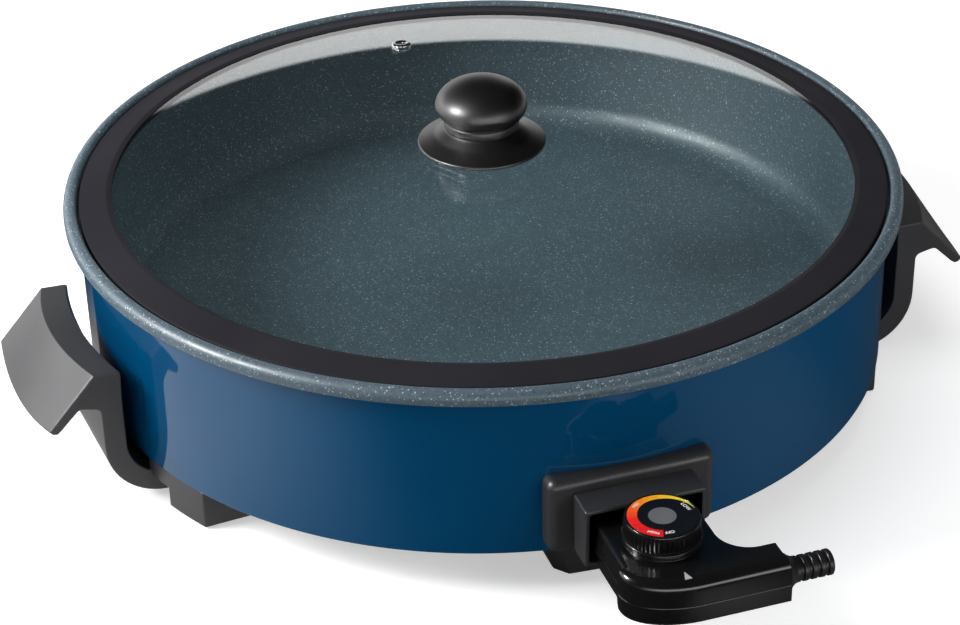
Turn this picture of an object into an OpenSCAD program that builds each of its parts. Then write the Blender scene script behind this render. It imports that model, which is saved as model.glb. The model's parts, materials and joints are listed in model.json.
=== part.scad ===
// Electric skillet with a lift-off glass lid and a plug-in temperature controller.
// Frame: +Z up, origin on the pan's axis at the table, controller towards -Y,
// handles towards +X and -X. Millimetres.

/* [Pan] */
// Inside diameter of the pan at its mouth
cook_d = 356; // [320:2:380]
// Sheet thickness of the pan
pan_t = 2; // [1.5:0.1:2.5]
// Radius between the pan's floor and its wall
corner_r = 14; // [10:1:18]
// How much further out the wall stands at the mouth than at the floor
wall_flare = 7; // [4:1:10]
// How far the rim stands out from the mouth
rim_w = 9; // [8.5:0.5:12]
// Height of the rim's crest above the lid seat
rim_h = 5.3; // [4.6:0.1:6.5]

/* [Skirt and base] */
// Height of the painted skirt
skirt_h = 73.5; // [68:0.5:85]
// Sheet thickness of the skirt and of the bottom cover
skirt_t = 0.8; // [0.6:0.1:1.2]
// Width of the skirt's inward flange at its lower edge
skirt_flange = 5; // [4:0.5:7]
// Gap between the table and the skirt's lower edge
foot_h = 18.5; // [16:0.5:24]
// Height of the terminal pins above the skirt's lower edge
pin_rise = 12; // [11:0.5:13]
// Diameter of the studs under the pan
stud_d = 9; // [8:0.5:11]
// Diameter of the foot screws
screw_d = 4; // [3:0.5:5]

/* [Heating element] */
// Centreline diameter of the element's ring
element_d = 224; // [180:2:250]
// Diameter of the element's sheath and of the probe's guide tube
tube_d = 7.8; // [7.2:0.1:8.4]
// Bend radius where the ring turns out to the terminals
bend_r = 12; // [8:1:16]
// Diameter of the terminal pins
pin_d = 5; // [4.5:0.1:5.2]
// Distance between the terminal pins
pin_pitch = 25; // [23:0.5:26]
// How far the terminal pins stand into the socket
pin_reach = 19; // [14:0.5:20]

/* [Shroud] */
// Width of the shroud's plate
plate_w = 71; // [64:1:80]
// Height of the shroud's plate
plate_h = 34.5; // [32:0.5:38]
// Distance from the skirt to the front of the plate, on the centre line
plate_t = 5; // [4:0.5:7]
// Width of the socket box
box_w = 51.2; // [49:0.2:56]
// Height of the socket box
box_h = 26.7; // [25.5:0.1:28]
// How far the socket box stands out from the plate
box_out = 14; // [10:0.5:16]
// Wall of the socket box
box_wall = 1.7; // [1.2:0.1:2.2]

/* [Handles and feet] */
// How far forward of the pan's X axis each handle sits, in degrees
handle_turn = 5.7; // [0:0.1:10]
// Width of a handle
handle_w = 81; // [70:1:90]
// Height of the grip's upper edge above the table
grip_top = 66.5; // [60:0.5:70]
// Drop from the grip's upper edge to its outer edge
grip_drop = 29; // [24:0.5:32]
// Gap between the skirt and the handle's stem
stem_gap = 4; // [2:0.5:8]
// Thickness of the handle's stem
stem_t = 9.5; // [7:0.5:12]
// How far the grip stands out past the stem
grip_out = 26.5; // [20:0.5:32]
// Outer radius of the bend where the stem turns in under the pan
arm_bend = 27.5; // [22:0.5:30]
// Half the spread of a handle's two foot blocks
foot_spread = 75.5; // [68:0.5:80]
// Length of each foot block
foot_len = 22.5; // [18:0.5:26]
// Width of the front foot at the table
front_foot_w = 55; // [46:1:60]
// Diameter of the foot pads
pad_d = 14; // [10:1:16]
// Thickness of the foot pads
pad_t = 1.6; // [1.2:0.1:2]

/* [Lid] */
// How much wider the lid's silicone rim is than the pan's mouth
lid_lap = 4; // [2.8:0.1:4.6]
// Width of the silicone rim seen from above
ring_w = 17; // [12:0.5:20]
// Thickness of the lid's glass
glass_t = 4; // [3:0.2:4.4]
// Rise of the glass from the silicone rim to the centre
dome_rise = 14.6; // [10:0.2:20]
// Distance of the steam vent from the lid's edge
vent_in = 55; // [35:1:90]
// Outside diameter of the steam vent
vent_d = 9.6; // [8:0.2:12]

/* [Knob] */
// Diameter of the knob's skirt
knob_skirt_d = 57.2; // [48:0.2:62]
// Diameter of the knob's collar
knob_collar_d = 34; // [28:0.5:36]
// Diameter of the knob's cap
knob_cap_d = 41; // [38:0.5:48]
// Height of the knob above the glass
knob_h = 30.6; // [28:0.2:36]
// Diameter of the knob's screw
knob_screw_d = 4; // [3:0.5:5]

/* [Controller] */
// Width of the controller's neck where it enters the socket
neck_w = 42.4; // [40:0.2:43]
// Height of the controller's body
body_h = 20; // [19:0.5:22]
// Distance from the dial's axis to the front of the controller
body_front = 31.1; // [28:0.1:34]
// Distance from the centre line to the cord end of the controller
body_end = 42.4; // [40:0.2:50]
// Width of the controller's arm at its cord end
arm_w = 14.7; // [14:0.1:16.5]
// How far the curve of the controller's front corner reaches back
corner_front = 17; // [12:0.5:18]
// How far the curve of the controller's front corner reaches along the front
corner_wide = 29.5; // [22:0.5:32]
// Radius between the neck and the arm
corner_back = 13; // [9:0.5:14]
// Wall of the controller's case
case_wall = 1.8; // [1.4:0.1:2]
// Diameter of the temperature probe
probe_d = 6; // [5:0.1:6.4]
// Length of the probe in front of the case
probe_len = 65; // [50:1:75]
// Pull that brings the controller clear of the skillet
pull_out = 90; // [80:1:120]

/* [Dial] */
// Diameter of the dial
dial_d = 30.6; // [28:0.2:31]
// Height of the dial
dial_h = 8.8; // [7:0.2:12]
// Diameter of the dial's shaft
shaft_d = 5; // [4:0.5:6]
// Number of grip ribs around the dial
dial_ribs = 56; // [40:2:72]
// Travel of the cam's pin over the dial's whole turn
cam_travel = 1; // [0.6:0.1:1.2]
// The dial's whole turn, in degrees
dial_turn = 321; // [300:1:321]

/* [Strain relief] */
// Diameter of the cord that the strain relief takes
cord_d = 6.4; // [5:0.2:7]
// Length of the strain relief outside the case
relief_len = 18.8; // [16:0.2:26]
// Number of ribs on the strain relief
relief_ribs = 4; // [3:1:6]

/* [Hidden] */
$fn = 96;
// clearances
RUN = 0.06;       // radial clearance of a running fit
SLIP = 0.04;      // radial clearance of a piece in its own hole
SEAT = 0.3;       // gap between bodies that rest on each other
INSET = 0.1;      // setback of the stem's end faces from the grip's

// pan, seen in section from its axis
mouth_r = cook_d / 2;
seat_z = foot_h + skirt_h + pan_t;
seat_r = mouth_r + 2.6;
rim_r = mouth_r + rim_w;
rim_z = seat_z + rim_h;
pin_z = foot_h + pin_rise;
tube_r = tube_d / 2;
floor_bottom = pin_z + tube_r;
floor_top = floor_bottom + pan_t;
crest_r = rim_r - 3.8;
corner_c = [mouth_r - wall_flare - corner_r, floor_top + corner_r];
wall_top = seat_z - 3;
wall_tilt = atan(wall_flare / (wall_top - corner_c[1]));

// skirt
skirt_in = mouth_r + pan_t + 0.2;
skirt_r = skirt_in + skirt_t;
skirt_top = seat_z - pan_t;
cover_z = foot_h + skirt_t;
cover_top = cover_z + skirt_t;

// front fittings
pin_x = pin_pitch / 2;
plate_y = -(skirt_r + plate_t);
plate_z = foot_h + 3.5;
plate_edge = 4;
box_y = plate_y - box_out;
box_z = plate_z + 1.8;
socket_back = plate_y + 1.5;
socket_z = [box_z + box_wall, box_z + box_h - box_wall];
pin_tip = socket_back - pin_reach;
bush_r = pin_d / 2 + 1.9;
shroud_screw = [17, socket_z[1] - 3.2];
shroud_screw_r = 1.5;

// feet: screws, pads and blocks
stud_x = skirt_r - 33;
plate_in_r = stud_x - 2 * screw_d;
foot_r = skirt_r - 0.5;
foot_top = foot_h;
base_under = foot_h - 9.5;
sole_z = pad_t - 1;
stud_y = 26;
front_stud = [25, skirt_r - 31];
front_foot_r = skirt_r - 5.8;
pad_r = pad_d / 2;
pad_inset = 12;
foot_mid = foot_spread - foot_len / 2;
pad_at = [sqrt(pow(foot_r - pad_inset, 2) - pow(foot_mid, 2)), foot_mid];
front_foot_len = 31;
front_pad = [16, front_foot_r - pad_inset];

// lid
lid_r = (cook_d + lid_lap) / 2;
ring_in = lid_r - ring_w;
ring_edge_z = rim_z - 1.3;
ring_lip = 2.8;
ring_top = ring_edge_z + 2.5;
glass_edge_z = ring_top - ring_lip;
dome_r = (pow(ring_in, 2) + pow(dome_rise, 2)) / (2 * dome_rise);
dome_z = glass_edge_z + dome_rise;
glass_r = mouth_r - 1.6;
plug_r = mouth_r - 0.8;
vent_out = lid_r - vent_in;
vent_tilt = asin(vent_out / dome_r);
vent_r = vent_d / 2;
knob_z = dome_z + 0.8;
gasket_r = 9;
knob_top = dome_z + knob_h;
collar_z = dome_z + 8.1;
cap_z = collar_z + 4.6;
cap_r = knob_cap_d / 2;

// controller
dial_y = box_y - 16.2;
neck_y = socket_back - 2.2;
body_z = foot_h + 4.5;
body_top = body_z + body_h;
split_z = body_z + 9;
neck_z = socket_z[0] + 0.5;
neck_floor = neck_z + 1.1;
front_y = dial_y - body_front;
back_y = front_y + arm_w;
shoulder_y = front_y + corner_front;
relief_y = back_y - 6.95;
neck_half = neck_w / 2;
body_left = neck_half + 2.2;
end_r = 1.5;
end_wall = 4.2;
case_in = [body_z + 1.6, body_top - 1.8];
probe_tip = neck_y + probe_len;
socket_r = pin_d / 2 + 0.8;
socket_len = 18.8;
block_len = 6;
block_y = [neck_y - socket_len, neck_y - socket_len + block_len];
screw_inset = [17.4, 9.8, 11];
case_screws = [
    [-neck_half + 3.4, dial_y + 4.2], [neck_half - 3.4, dial_y + 4.2],
    [-body_left + screw_inset[2], front_y + screw_inset[1]], [body_end - screw_inset[0], relief_y]
];
case_screw_r = 1.25;
screw_bite = 7;
post_r = 2.6;

// thermostat stack, from the case's floor upward
stack_back = 10.8;
stack_y = dial_y - stack_back;
contact_y = dial_y + 4;
leaf_t = 0.4;
leaf_w = 6;
frame_w = 18;
frame_t = 1;
lower_leaf_z = case_in[0] + frame_t + 1.8;
upper_leaf_z = lower_leaf_z + 2.6;
bimetal_z = upper_leaf_z + leaf_t + 1;
bimetal_t = 0.6;
stack_top = bimetal_z + bimetal_t;
stack_r = 3;
stack_screw_r = 1.2;
bridge_z = stack_top + 2.2;
shaft_r = shaft_d / 2;

// the cam on the dial's shaft, and the pin that follows it towards -Y
cam_r = shaft_r + 1.7;
cam_z = bridge_z + frame_t + 1;
cam_t = 2;
cam_pin_r = 1.2;
cam_pin_z = cam_z + cam_t / 2;
cam_pin_y = dial_y - cam_r - SEAT;
cam_guide_y = dial_y - cam_r - cam_travel - 3.8;

// dial
dial_r = dial_d / 2;
collar_top = body_top + 1.8;
dial_z = collar_top + 0.4;
dial_top = dial_z + dial_h;
disc_r = dial_r - 1.3;
disc_t = 0.5;

// strain relief
relief_z = body_z + body_h / 2;
relief_r = cord_d / 2 + 2.1;
relief_base = relief_r + 2.2;
relief_seat = 1.3;

// ---------------------------------------------------------------- helpers

// points on an arc about c, from angle a0 to a1 in n steps
function arc(c, r, a0, a1, n) =
    [for (i = [0:n]) let (a = a0 + (a1 - a0) * i / n) [c[0] + r * cos(a), c[1] + r * sin(a)]];

// rectangle from corner a to corner b, its corners rounded to radius r
function round_rect(a, b, r) = concat(
    arc([b[0] - r, b[1] - r], r, 0, 90, 6), arc([a[0] + r, b[1] - r], r, 90, 180, 6),
    arc([a[0] + r, a[1] + r], r, 180, 270, 6), arc([b[0] - r, a[1] + r], r, 270, 360, 6)
);

// solid through a list of rings that all have the same number of points, each
// ring clockwise as seen from the last one
module loft(rings) {
    k = len(rings[0]);
    n = len(rings);
    lower = [for (j = [0:n - 2]) for (i = [0:k - 1])
        [j * k + i, j * k + (i + 1) % k, (j + 1) * k + i]];
    upper = [for (j = [0:n - 2]) for (i = [0:k - 1])
        [j * k + (i + 1) % k, (j + 1) * k + (i + 1) % k, (j + 1) * k + i]];
    first = [[for (i = [k - 1:-1:0]) i]];
    last = [[for (i = [0:k - 1]) (n - 1) * k + i]];
    polyhedron([for (r = rings) for (p = r) p], concat(first, lower, upper, last));
}

// cylinder along -Y that starts at y0 and ends at y1
module rod_y(r, y0, y1, x = 0, z = 0) {
    translate([x, y0, z]) rotate([90, 0, 0]) cylinder(r = r, h = y0 - y1);
}

// upright tube
module tube(r_out, r_in, z0, z1) {
    difference() {
        translate([0, 0, z0]) cylinder(r = r_out, h = z1 - z0);
        translate([0, 0, z0 - 1]) cylinder(r = r_in, h = z1 - z0 + 2);
    }
}

// two copies, at +x and -x
module pair(x) {
    for (side = [-1, 1]) translate([side * x, 0, 0]) children();
}

// turns a handle's own frame, whose X axis points outward, to its place
module at_handle(side) {
    mirror([side < 0 ? 1 : 0, 0, 0]) rotate([0, 0, -handle_turn]) children();
}

// ------------------------------------------------------------------- pan

module pan() {
    inner = concat(
        [[0, floor_top]],
        arc(corner_c, corner_r, -90, -wall_tilt, 8),
        [[mouth_r, wall_top], [mouth_r + 0.4, seat_z - 0.9], [mouth_r + 1.4, seat_z], [seat_r, seat_z]]
    );
    rim = concat(
        arc([crest_r, rim_z - 2], 2, 165, 90, 6),
        arc([crest_r, rim_z - 3.8], 3.8, 75, 0, 6),
        [[rim_r, rim_z - 5.4], [rim_r - 0.7, rim_z - 6.4], [rim_r - 1.9, rim_z - 6.3]],
        arc([crest_r, rim_z - 3.8], 1.9, 0, 90, 4),
        [[seat_r + 1.8, rim_z - 2.6], [seat_r + 1.8, skirt_top]]
    );
    outer = concat(
        [[mouth_r + pan_t, skirt_top], [mouth_r + pan_t, wall_top]],
        arc(corner_c, corner_r + pan_t, -wall_tilt, -90, 8),
        [[0, floor_bottom]]
    );
    color("slategray") rotate_extrude() polygon(concat(inner, rim, outer));
}

module outer_skirt() {
    color("#183d5a") difference() {
        union() {
            tube(skirt_r, skirt_in, foot_h, skirt_top);
            tube(skirt_in + skirt_t / 2, skirt_r - skirt_flange, foot_h, foot_h + skirt_t);
        }
        // window for the pins and the probe's guide
        translate([-pin_x - bush_r - 1, -skirt_r - 1, pin_z - bush_r - 1])
            cube([2 * (pin_x + bush_r + 1), 6, 2 * (bush_r + 1)]);
        pair(shroud_screw[0])
            rod_y(shroud_screw_r + 0.2, -skirt_in + 6, -skirt_r - 1, 0, shroud_screw[1]);
    }
}

// where the foot screws pass the cover, in the whole frame
module at_foot_screws() {
    for (side = [-1, 1]) at_handle(side)
        for (y = [-stud_y, stud_y]) translate([stud_x, y, 0]) children();
    pair(front_stud[0]) translate([0, -front_stud[1], 0]) children();
}

module bottom_cover() {
    step_r = plate_in_r - 6;
    color("gray") difference() {
        rotate_extrude() polygon([
            [0, cover_z + 2], [step_r - 3, cover_z + 2], [step_r, cover_z],
            [skirt_in - SLIP, cover_z], [skirt_in - SLIP, cover_top],
            [step_r + 0.4, cover_top], [step_r - 2.6, cover_top + 2], [0, cover_top + 2]
        ]);
        at_foot_screws() translate([0, 0, cover_z - 1]) cylinder(r = screw_d / 2 + 0.3, h = 4);
    }
}

module pan_studs() {
    color("silver") at_foot_screws() difference() {
        translate([0, 0, cover_top]) cylinder(d = stud_d, h = floor_bottom - cover_top);
        translate([0, 0, cover_top - 1]) cylinder(r = screw_d / 2 + SLIP, h = floor_bottom - cover_top - 2);
    }
}

module heating_element() {
    ring_r = element_d / 2;
    a = acos((pin_x + bend_r) / (ring_r + bend_r));
    bend_c = (ring_r + bend_r) * [cos(a), -sin(a)];
    // the pieces of tube end inside the clips, a little short of each other
    ring_gap = 0.2;
    bend_gap = 2;
    color("dimgray") translate([0, 0, pin_z]) {
        rotate([0, 0, ring_gap - a])
            rotate_extrude(angle = 180 + 2 * (a - ring_gap)) translate([ring_r, 0]) circle(tube_r);
        for (side = [0, 1]) mirror([side, 0, 0]) {
            translate([bend_c[0], bend_c[1], 0]) rotate([0, 0, 180 - a + bend_gap])
                rotate_extrude(angle = a - 2 * bend_gap) translate([bend_r, 0]) circle(tube_r);
            rod_y(tube_r, bend_c[1] - 0.4, tube_end_y(), pin_x, 0);
            rotate([0, 0, -a]) translate([ring_r, 0, 0]) element_clip();
            translate([pin_x, bend_c[1], 0]) element_clip();
        }
    }
}

// steel clip that holds the element's tube against the pan
module element_clip() {
    w = tube_d + 3;
    translate([-w / 2, -2.5, -tube_r - 1]) cube([w, 5, tube_d + 1]);
}

// where the element's sheath ends and the bare pins begin
function tube_end_y() = -skirt_in + 16;

module terminal_pins() {
    r = pin_d / 2;
    color("silver") pair(pin_x) {
        rod_y(r, tube_end_y(), pin_tip + 1, 0, pin_z);
        translate([0, pin_tip + 1, pin_z]) rotate([90, 0, 0]) cylinder(r1 = r, r2 = r - 1, h = 1);
    }
}

module pin_bushings() {
    color("ivory") pair(pin_x) difference() {
        union() {
            rod_y(bush_r, -skirt_in + 8, socket_back - 0.5, 0, pin_z);
            rod_y(bush_r + 0.9, -skirt_in + 8, -skirt_in + 4, 0, pin_z);
        }
        rod_y(pin_d / 2 + SLIP, -skirt_in + 9, socket_back - 2, 0, pin_z);
    }
}

module terminal_bracket() {
    reach = 11;
    color("silver") difference() {
        intersection() {
            tube(skirt_in - 0.02, skirt_in - 1.8, cover_top, socket_z[1] + 1);
            rotate([0, 0, -90 - reach]) rotate_extrude(angle = 2 * reach)
                square([skirt_r, seat_z]);
        }
        pair(pin_x) rod_y(bush_r + SLIP, -skirt_in + 9, -skirt_r, 0, pin_z);
        rod_y(tube_r + SLIP, -skirt_in + 9, -skirt_r, 0, pin_z);
        pair(shroud_screw[0])
            rod_y(shroud_screw_r + SLIP, -skirt_in + 9, -skirt_r - 1, 0, shroud_screw[1]);
    }
}

module probe_guide() {
    color("silver") difference() {
        rod_y(tube_r, probe_tip + 4, socket_back + 0.4, 0, pin_z);
        rod_y(probe_d / 2 + RUN, probe_tip + 2, socket_back - 1, 0, pin_z);
    }
}

// ---------------------------------------------------------------- shroud

// rounded front view, plan and side view, cut out of each other
module shroud_plate() {
    half = plate_w / 2;
    back = plate_y + 3 * plate_t + plate_edge;
    z = [plate_z, plate_z + plate_h];
    intersection() {
        rotate([90, 0, 0]) linear_extrude(3 * skirt_r, center = true)
            polygon(round_rect([-half, z[0]], [half, z[1]], plate_edge));
        linear_extrude(seat_z) polygon(round_rect([-half, plate_y], [half, back], plate_edge));
        rotate([90, 0, 90]) linear_extrude(2 * plate_w, center = true)
            polygon(round_rect([plate_y, z[0]], [back, z[1]], plate_edge));
    }
}

module shroud() {
    color("#2b2b2b") difference() {
        union() {
            shroud_plate();
            translate([-box_w / 2, box_y, box_z]) cube([box_w, box_out + plate_t / 2, box_h]);
        }
        cylinder(r = skirt_r + 0.02, h = rim_z);
        translate([-box_w / 2 + box_wall, box_y - 1, socket_z[0]])
            cube([box_w - 2 * box_wall, socket_back - box_y + 1, socket_z[1] - socket_z[0]]);
        pair(pin_x) rod_y(bush_r + SLIP, -skirt_in + 9, box_y, 0, pin_z);
        rod_y(tube_r + SLIP, -skirt_in + 9, box_y, 0, pin_z);
        pair(shroud_screw[0]) {
            rod_y(shroud_screw_r + SLIP, -skirt_in + 9, box_y, 0, shroud_screw[1]);
        }
    }
}

module shroud_screws() {
    color("silver") pair(shroud_screw[0]) {
        rod_y(shroud_screw_r, -skirt_in + 6, socket_back, 0, shroud_screw[1]);
        difference() {
            rod_y(2.6, socket_back, socket_back - 1.5, 0, shroud_screw[1]);
            translate([-2, socket_back - 1.8, shroud_screw[1] - 0.35]) cube([4, 0.9, 0.7]);
        }
    }
}

// --------------------------------------------------------------- handles

// the handle's section at distance y from its middle, as points [x, z]
stem_x = skirt_r + stem_gap;
stem_out = stem_x + stem_t;
ridge_x = stem_x + 18.1;
inner_x = ridge_x - 12.5;
tip_x = stem_out + grip_out;
arm_root = [stud_x + 2, skirt_r - 8.5];
inner_curve = 134.6;
ridge_curve = 120;
tip_curve = 219.3;

// how far an arc of radius r falls back at distance y from its middle
function sag(r, y) = r - sqrt(r * r - y * y);

// the grip's section at distance y from its middle, down to its root in the stem
function grip_section(y) =
    let (
        inner = inner_x - sag(inner_curve, y),
        ridge = ridge_x - sag(ridge_curve, y),
        tip = tip_x - sag(tip_curve, y),
        top = grip_top + 0.4 - 0.0008 * y * y,
        low = grip_top - grip_drop + 0.0024 * y * y
    ) [
        [inner, top - 0.9], [ridge, top], [tip, low + 2.1], [tip - 1.6, low + 0.3],
        [tip - 3.4, low], [tip - 5.1, low + 1.2], [stem_out + 9, grip_top - 15.6],
        [stem_out + 2, grip_top - 17], [stem_out - 0.8, grip_top - 21], [stem_x + 1, grip_top - 19]
    ];

module handle_grip() {
    half = handle_w / 2;
    n = 8;
    loft([for (j = [0:n]) let (y = half - handle_w * j / n)
        [for (p = grip_section(y)) [p[0], y, p[1]]]]);
}

// stem, the bend below it and the arm that runs in under the pan
module handle_stem() {
    bend = [stem_out - arm_bend, sole_z + arm_bend];
    rotate([90, 0, 0]) linear_extrude(handle_w - 2 * INSET, center = true) polygon(concat(
        [[stem_x, grip_top - 16], [stem_x + 4, grip_top - 10], [stem_out, grip_top - 16]],
        arc(bend, arm_bend, 0, -90, 9),
        [[bend[0] - 8, sole_z], [bend[0] - 10, base_under + 1], [arm_root[0], base_under + 1]],
        [[arm_root[0], foot_top - 0.6], [arm_root[1], foot_top - 0.6], [arm_root[1] + 1.7, base_under + 5]],
        arc(bend, arm_bend - stem_t, -58, 0, 6)
    ));
}

// part of a ring between two distances from the handle's middle line
module ring_slice(r_in, r_out, y0, y1, z0, z1) {
    intersection() {
        tube(r_out, r_in, z0, z1);
        translate([plate_in_r / 2, y0, z0 - 1]) cube([r_out, y1 - y0, z1 - z0 + 2]);
    }
}

module handle_body() {
    difference() {
        union() {
            handle_grip();
            handle_stem();
            ring_slice(plate_in_r, arm_root[1] + 1, -foot_spread, foot_spread, base_under, foot_top);
            ring_slice(plate_in_r + 1, skirt_r - skirt_flange - 0.4, 1 - foot_spread, foot_spread - 1,
                foot_top - 1, cover_z);
            for (side = [0, 1]) mirror([0, side, 0]) {
                ring_slice(foot_r - 26, foot_r, handle_w / 2 - 2, foot_spread - 1, base_under + 0.5, foot_top);
                ring_slice(foot_r - 26, foot_r, foot_spread - foot_len, foot_spread, sole_z, foot_top);
            }
        }
        for (s = [-1, 1]) {
            translate([stud_x, s * stud_y, -1]) cylinder(r = screw_d / 2 + 0.3, h = foot_h + 3);
            translate([stud_x, s * stud_y, -1]) cylinder(r = screw_d + 0.4, h = base_under + 1);
            translate([pad_at[0], s * pad_at[1], -1]) cylinder(r = pad_r + SLIP, h = pad_t + 1);
        }
    }
}

module right_handle() {
    color("#3a3a3c") at_handle(1) handle_body();
}

module left_handle() {
    color("#3a3a3c") at_handle(-1) handle_body();
}

module front_foot() {
    half = front_foot_w / 2;
    top_half = plate_w / 2 - 1.5;
    chamfer = 5;
    lip_set = 8;
    deep = front_foot_r - front_foot_len;
    function outline(h) = [
        [h, -deep], [h, -front_foot_r + chamfer + 2.6], [h - chamfer, -front_foot_r + 1.6],
        [0, -front_foot_r], [chamfer - h, -front_foot_r + 1.6],
        [-h, -front_foot_r + chamfer + 2.6], [-h, -deep]
    ];
    color("#2b2b2b") difference() {
        union() {
            loft([[for (p = outline(half)) [p[0], p[1], sole_z]],
                [for (p = outline(top_half)) [p[0], p[1], foot_top]]]);
            translate([-top_half, -front_foot_r + lip_set, foot_top - 1])
                cube([2 * top_half, front_foot_len - lip_set, cover_z - foot_top + 1]);
        }
        pair(front_stud[0]) translate([0, -front_stud[1], -1]) {
            cylinder(r = screw_d / 2 + 0.3, h = foot_h + 3);
            cylinder(r = screw_d + 0.4, h = base_under + 1);
        }
        pair(front_pad[0]) translate([0, -front_pad[1], -1]) cylinder(r = pad_r + SLIP, h = pad_t + 1);
    }
}

module foot_screws() {
    color("silver") at_foot_screws() {
        translate([0, 0, base_under]) cylinder(r = screw_d / 2, h = floor_bottom - base_under - 5);
        difference() {
            translate([0, 0, base_under - 2.4]) cylinder(r = screw_d, h = 2.4);
            translate([-0.5, -screw_d, base_under - 3]) cube([1, 2 * screw_d, 1.6]);
        }
    }
}

module foot_pads() {
    color("black") {
        for (side = [-1, 1]) at_handle(side)
            for (s = [-1, 1]) translate([pad_at[0], s * pad_at[1], 0]) cylinder(r = pad_r, h = pad_t);
        pair(front_pad[0]) translate([0, -front_pad[1], 0]) cylinder(r = pad_r, h = pad_t);
    }
}

// ------------------------------------------------------------------- lid

// height of the glass's upper face at distance r from the axis
function dome_at(r) = dome_z - dome_r + sqrt(dome_r * dome_r - r * r);

// section of the glass, grown by g all round
function glass_section(g) =
    let (n = 14, r = glass_r + g) concat(
        [for (i = [0:n]) [r * i / n, dome_at(r * i / n) + g]],
        [for (i = [n:-1:0]) [r * i / n, dome_at(r * i / n) - glass_t - g]]
    );

// puts its children on the dome where the vent is, with +Z along the glass's normal
module at_vent() {
    translate([0, 0, dome_z - dome_r]) rotate([-vent_tilt, 0, 0]) translate([0, 0, dome_r]) children();
}

module lid_glass() {
    color([0.8, 0.9, 0.9, 0.3]) difference() {
        rotate_extrude() polygon(glass_section(0));
        translate([0, 0, dome_z - glass_t - 1]) cylinder(r = knob_screw_d / 2 + 0.6, h = glass_t + 2);
        at_vent() translate([0, 0, -glass_t - 1]) cylinder(r = vent_r - 1.2, h = glass_t + 2);
    }
}

module lid_rim() {
    under = dome_at(glass_r) - glass_t - 1.8;
    color("#2e2c33") rotate_extrude() difference() {
        polygon([
            [lid_r, seat_z + SEAT], [lid_r, ring_edge_z - 0.4], [lid_r - 0.4, ring_edge_z],
            [ring_in + 1, ring_top], [ring_in, ring_top - 0.4],
            [ring_in, dome_at(ring_in) - glass_t - 1.2], [ring_in + 2, under], [plug_r - 1, under],
            [plug_r, under + 1], [plug_r, seat_z + SEAT]
        ]);
        polygon(glass_section(SLIP));
    }
}

module steam_vent() {
    color("silver") at_vent() difference() {
        union() {
            translate([0, 0, -glass_t - 1]) cylinder(r = vent_r - 1.2 - SLIP, h = glass_t + 1.6);
            translate([0, 0, 0.05]) cylinder(r = vent_r, h = 0.7);
            translate([0, 0, 0.75]) cylinder(r1 = vent_r, r2 = vent_r - 1, h = 0.6);
            translate([0, 0, -glass_t - 1.2]) cylinder(r = vent_r, h = 1.1);
        }
        translate([0, 0, -glass_t - 2]) cylinder(r = vent_r - 2.6, h = glass_t + 4);
    }
}

module knob_gasket() {
    color("white") {
        tube(gasket_r, knob_screw_d / 2 + SLIP, dome_z, knob_z);
        tube(gasket_r, knob_screw_d / 2 + SLIP, dome_z - glass_t - 1, dome_at(1.3 * gasket_r) - glass_t);
    }
}

module knob_base() {
    skirt = knob_skirt_d / 2;
    edge_z = dome_at(skirt) + 0.4;
    hole = knob_screw_d / 2 + 0.3;
    neck = knob_collar_d / 2;
    color("#151515") rotate_extrude() polygon([
        [hole, knob_z], [gasket_r + 0.5, knob_z], [gasket_r + 0.5, knob_z + 2.6], [skirt - 2.6, edge_z + 0.7],
        [skirt - 1.6, edge_z], [skirt - 0.3, edge_z], [skirt, edge_z + 0.4], [skirt - 0.3, edge_z + 1.2],
        [neck + 0.3, collar_z - 0.4], [neck - 0.4, collar_z], [hole, collar_z]
    ]);
}

module knob_cap() {
    neck = knob_collar_d / 2;
    dome = knob_top - cap_z - 5.4;
    crown = [for (a = [0:7.5:90]) [cap_r * cos(a), cap_z + 5.4 + dome * sin(a)]];
    color("#151515") difference() {
        rotate_extrude() polygon(concat(
            [[0, collar_z], [neck - 0.7, collar_z], [neck - 0.3, collar_z + 0.5], [neck - 0.3, cap_z - 0.9]],
            [[neck - 0.9, cap_z - 0.6], [neck - 0.9, cap_z], [neck + 0.3, cap_z + 0.3]],
            [[cap_r - 2, cap_z + 2], [cap_r - 0.6, cap_z + 3.6]],
            crown
        ));
        translate([0, 0, collar_z - 1]) cylinder(r = knob_screw_d / 2 + 1.2 + SLIP, h = 12);
    }
}

module knob_insert() {
    color("gold") tube(knob_screw_d / 2 + 1.2, knob_screw_d / 2 + SLIP, collar_z + 0.5, collar_z + 10.5);
}

module knob_washer() {
    color("silver") tube(8, knob_screw_d / 2 + SLIP, dome_z - glass_t - 1.8, dome_z - glass_t - 1);
}

module knob_screw() {
    head_z = dome_z - glass_t - 1.8;
    color("silver") {
        translate([0, 0, head_z]) cylinder(d = knob_screw_d, h = collar_z + 9 - head_z);
        difference() {
            translate([0, 0, head_z - 2.2]) cylinder(r1 = knob_screw_d - 0.6, r2 = knob_screw_d, h = 2.2);
            translate([-knob_screw_d, -0.5, head_z - 3]) cube([2 * knob_screw_d, 1, 1.8]);
        }
    }
}

// ------------------------------------------------------------ controller

// the case's outline seen from above, moved inward by i
function case_outline(i) = concat(
    [[-neck_half + i, neck_y - i], [-neck_half + i, shoulder_y + 3.4], [-body_left + i, shoulder_y + 2]],
    [for (a = [180:10:270]) [
        corner_wide - body_left + (corner_wide - i) * cos(a), shoulder_y + (corner_front - i) * sin(a)]],
    arc([body_end - end_r, front_y + end_r], end_r - i, 270, 360, 4),
    arc([body_end - end_r, back_y - end_r], end_r - i, 0, 90, 4),
    arc([neck_half + corner_back, back_y + corner_back], corner_back + i, 270, 180, 8),
    [[neck_half - i, neck_y - i]]
);

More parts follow.
